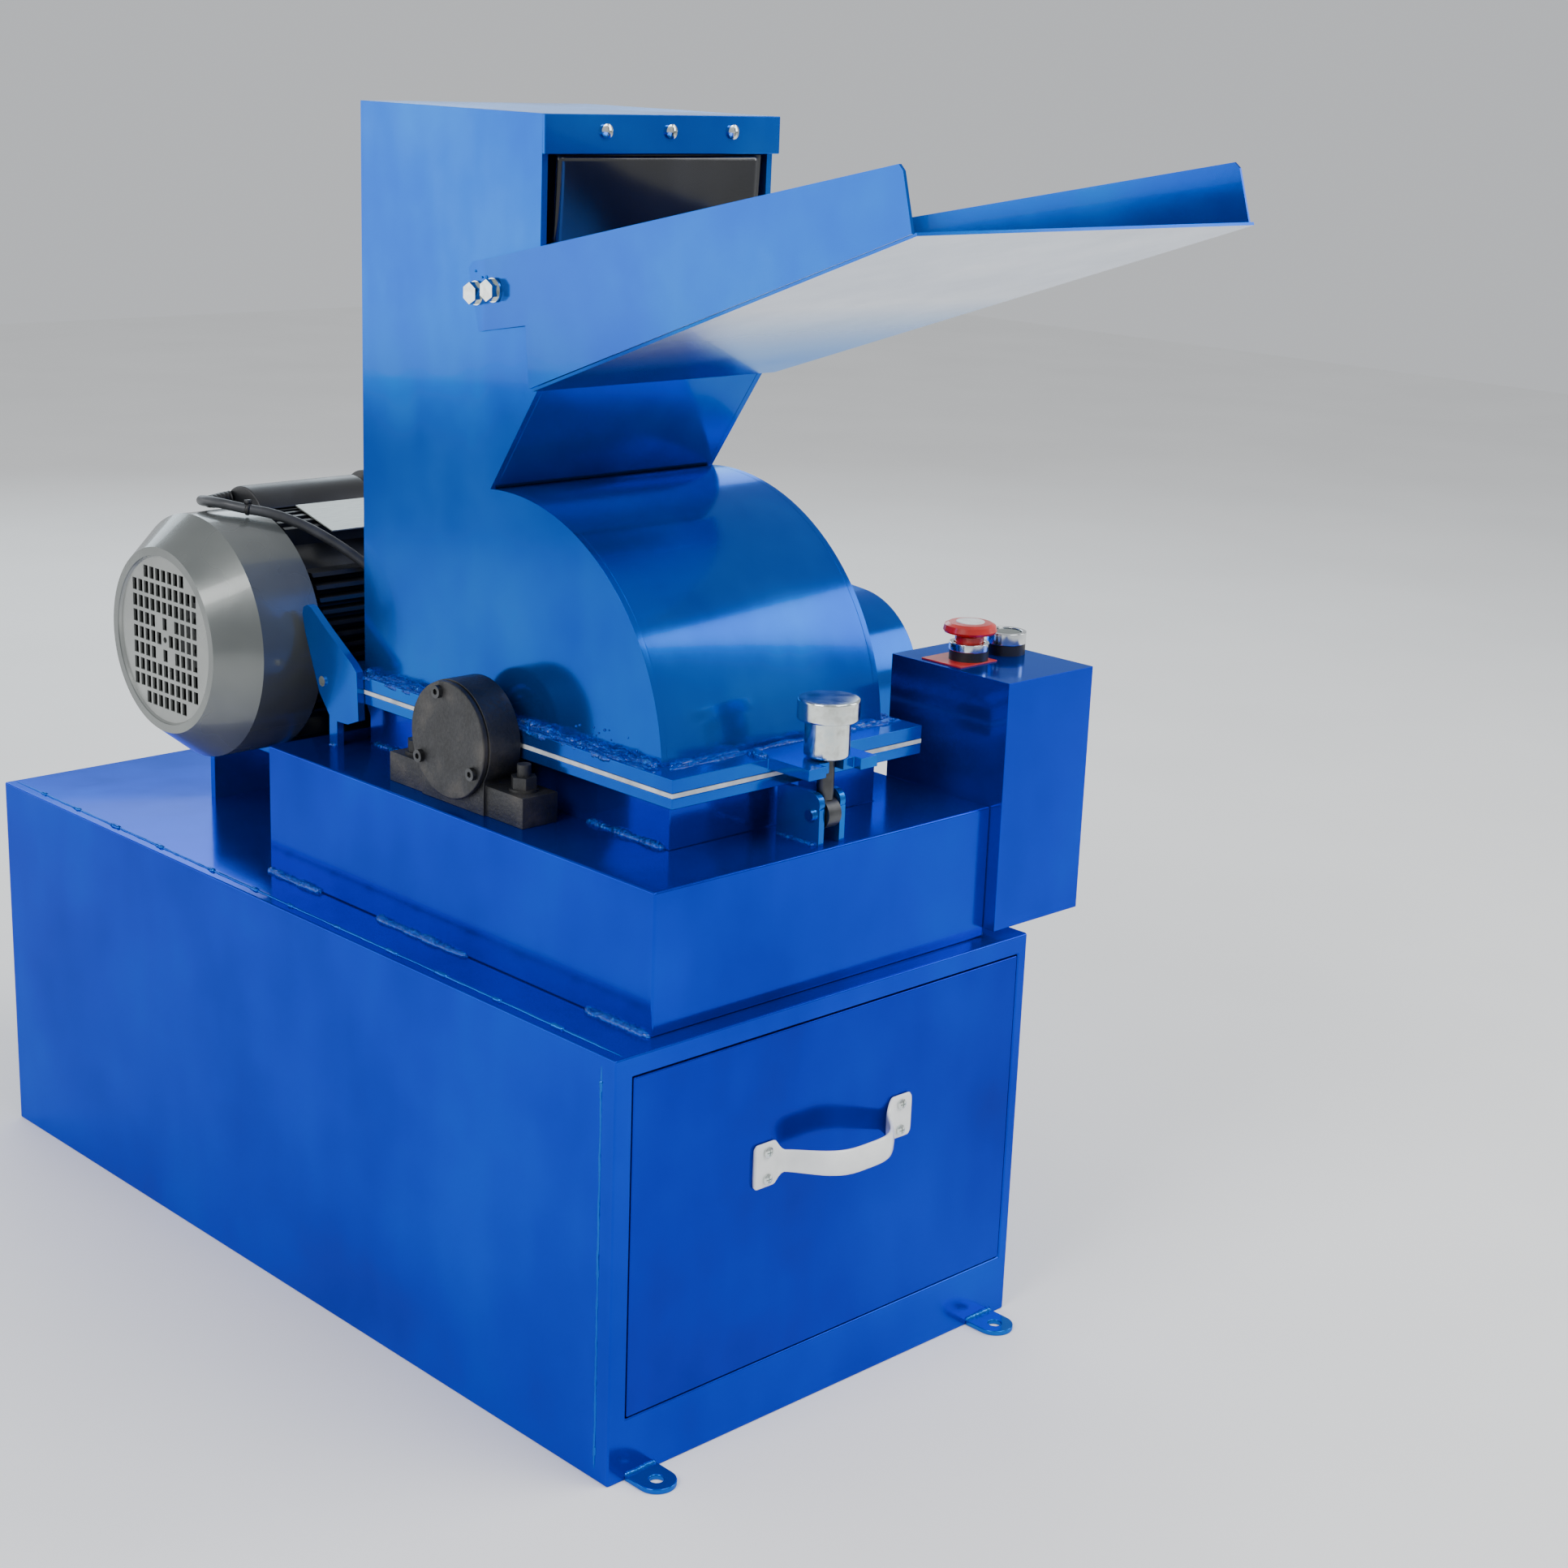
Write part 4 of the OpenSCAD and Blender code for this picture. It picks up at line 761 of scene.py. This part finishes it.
# A tie round the cable: a short band and its square head on the outer side.
def cableTie():
    size = cableSizes
    places = size["tieAt"] + size["tieLong"] * np.linspace(0, 1, 5)
    path = np.stack([np.interp(places, distance, route[:, k]) for k in range(3)], axis=-1)
    radii = size["diameter"] / 2 + np.array([0.1, 0.9, 1.0, 0.9, 0.1])
    middle = path[2] + np.array([0, 0, size["diameter"] / 2 + 1.6])
    head = np.array([[[x, y, z] for x, y in ((-2.4, -2), (2.4, -2), (2.4, 2), (-2.4, 2))] for z in (-1.6, 1.6)])
    return [gridMesh("band", asMetres(tubeAlong(path, radii, 20))), gridMesh("head", asMetres(middle + head))]


boxEnd = distance[-1] - cableSizes["glandDeep"]
sleeves = [cableSleeve(0.4, cableSizes["sleeveLong"]), cableSleeve(boxEnd, boxEnd - cableSizes["sleeveLong"])]
addPiece("cableSleeves", sleeves, plastic, "frame")
addPiece("cableTie", cableTie(), plastic, "frame")


discSizes = {"radius": 10.6, "inner": 6.0, "edge": 0.4, "rise": 0.35, "sunk": 1.2}


# A thin round label on the crown of the stop button: a low profile turned about the button's axis.
def stopDisc():
    low, high = mmBox("estop_button")
    size = discSizes
    centre = (low + high) / 2
    outer = size["radius"]
    radii = np.array([0.05, size["inner"], outer - size["edge"], outer, outer, 0.05])
    heights = np.array([size["rise"], size["rise"] - 0.05, 0.1, -0.1, -size["sunk"], -size["sunk"]]) + high[2]
    angle = np.linspace(0, 2 * np.pi, 48, endpoint=False)
    rings = np.stack([centre[0] + radii[:, None] * np.cos(angle), centre[1] + radii[:, None] * np.sin(angle),
                      heights[:, None] * np.ones_like(angle)], axis=-1)
    return gridMesh("stopDisc", asMetres(rings))


print("making the stop disc")
addPiece("stopDisc", [stopDisc()], discWhite, "estop")


stageSizes = {"floor": 12.0}


def paleFloor():
    m = newMaterial("palePaintedFloor")
    colour = ramp(m, noiseField(m, 400, detail=3), [(0.3, "#f1f1f0"), (0.7, "#f6f6f5")])
    return finishMaterial(m, {"Base Color": colour, "Roughness": 0.75, "Specular IOR Level": 0.2})


print("setting the stage")
half = stageSizes["floor"] / 2
floorMesh = bpy.data.meshes.new("floor")
corners = [(-half, -half, 0), (half, -half, 0), (half, half, 0), (-half, half, 0)]
floorMesh.from_pydata(corners, [], [(0, 1, 2, 3)])
floor = bpy.data.objects.new("floor", floorMesh)
scene.collection.objects.link(floor)
floorMesh.materials.append(paleFloor())

world = bpy.data.worlds.new("studio")
scene.world = world
world.use_nodes = True
sky = world.node_tree.nodes["Background"]
sky.inputs["Color"].default_value = srgb("#f4f7fb")
sky.inputs["Strength"].default_value = 0.66


def softbox(name, place, target, size, power, colour="#ffffff"):
    data = bpy.data.lights.new(name, "AREA")
    data.shape = "RECTANGLE"
    data.size, data.size_y = size
    data.energy = power
    data.color = srgb(colour)[:3]
    lamp = bpy.data.objects.new(name, data)
    scene.collection.objects.link(lamp)
    aim = Vector(target) - Vector(place)
    lamp.matrix_world = Matrix.Translation(place) @ aim.to_track_quat("-Z", "Y").to_matrix().to_4x4()
    return lamp


softbox("keyLeft", (-2.4, -0.6, 2.2), (0, 0, 0.45), (1.4, 1.4), 52)
softbox("topFront", (0.6, -1.9, 2.9), (0, -0.1, 0.5), (1.8, 1.2), 56)
softbox("rightFill", (2.4, -1.6, 1.6), (0, 0, 0.4), (1.2, 1.6), 24)
softbox("leftPanel", (-2.3, 1.9, 0.85), (-0.1, 0, 0.6), (2.8, 1.1), 22)
softbox("backTop", (1.3, 2.7, 1.75), (-0.1, 0.1, 0.4), (3.0, 1.2), 34, "#e4f4ff")

cameraPlace = {"at": (-1201.2, -1559.6, 933.3), "yaw": -44.56, "pitch": 15.99, "roll": 2.205, "lens": 59.19}
yaw, pitch, roll = (math.radians(cameraPlace[k]) for k in ("yaw", "pitch", "roll"))
back = Vector((math.sin(yaw) * math.cos(pitch), -math.cos(yaw) * math.cos(pitch), math.sin(pitch)))
level = Vector((0, 0, 1)).cross(back).normalized()
upright = back.cross(level)
right = math.cos(roll) * level + math.sin(roll) * upright
above = -math.sin(roll) * level + math.cos(roll) * upright
cameraData = bpy.data.cameras.new("camera")
cameraData.lens = cameraPlace["lens"]
cameraData.sensor_width = 36
camera = bpy.data.objects.new("camera", cameraData)
scene.collection.objects.link(camera)
turned = Matrix((right, above, back)).transposed().to_4x4()
camera.matrix_world = Matrix.Translation(Vector(cameraPlace["at"]) * mm) @ turned
scene.camera = camera

print("finishing")
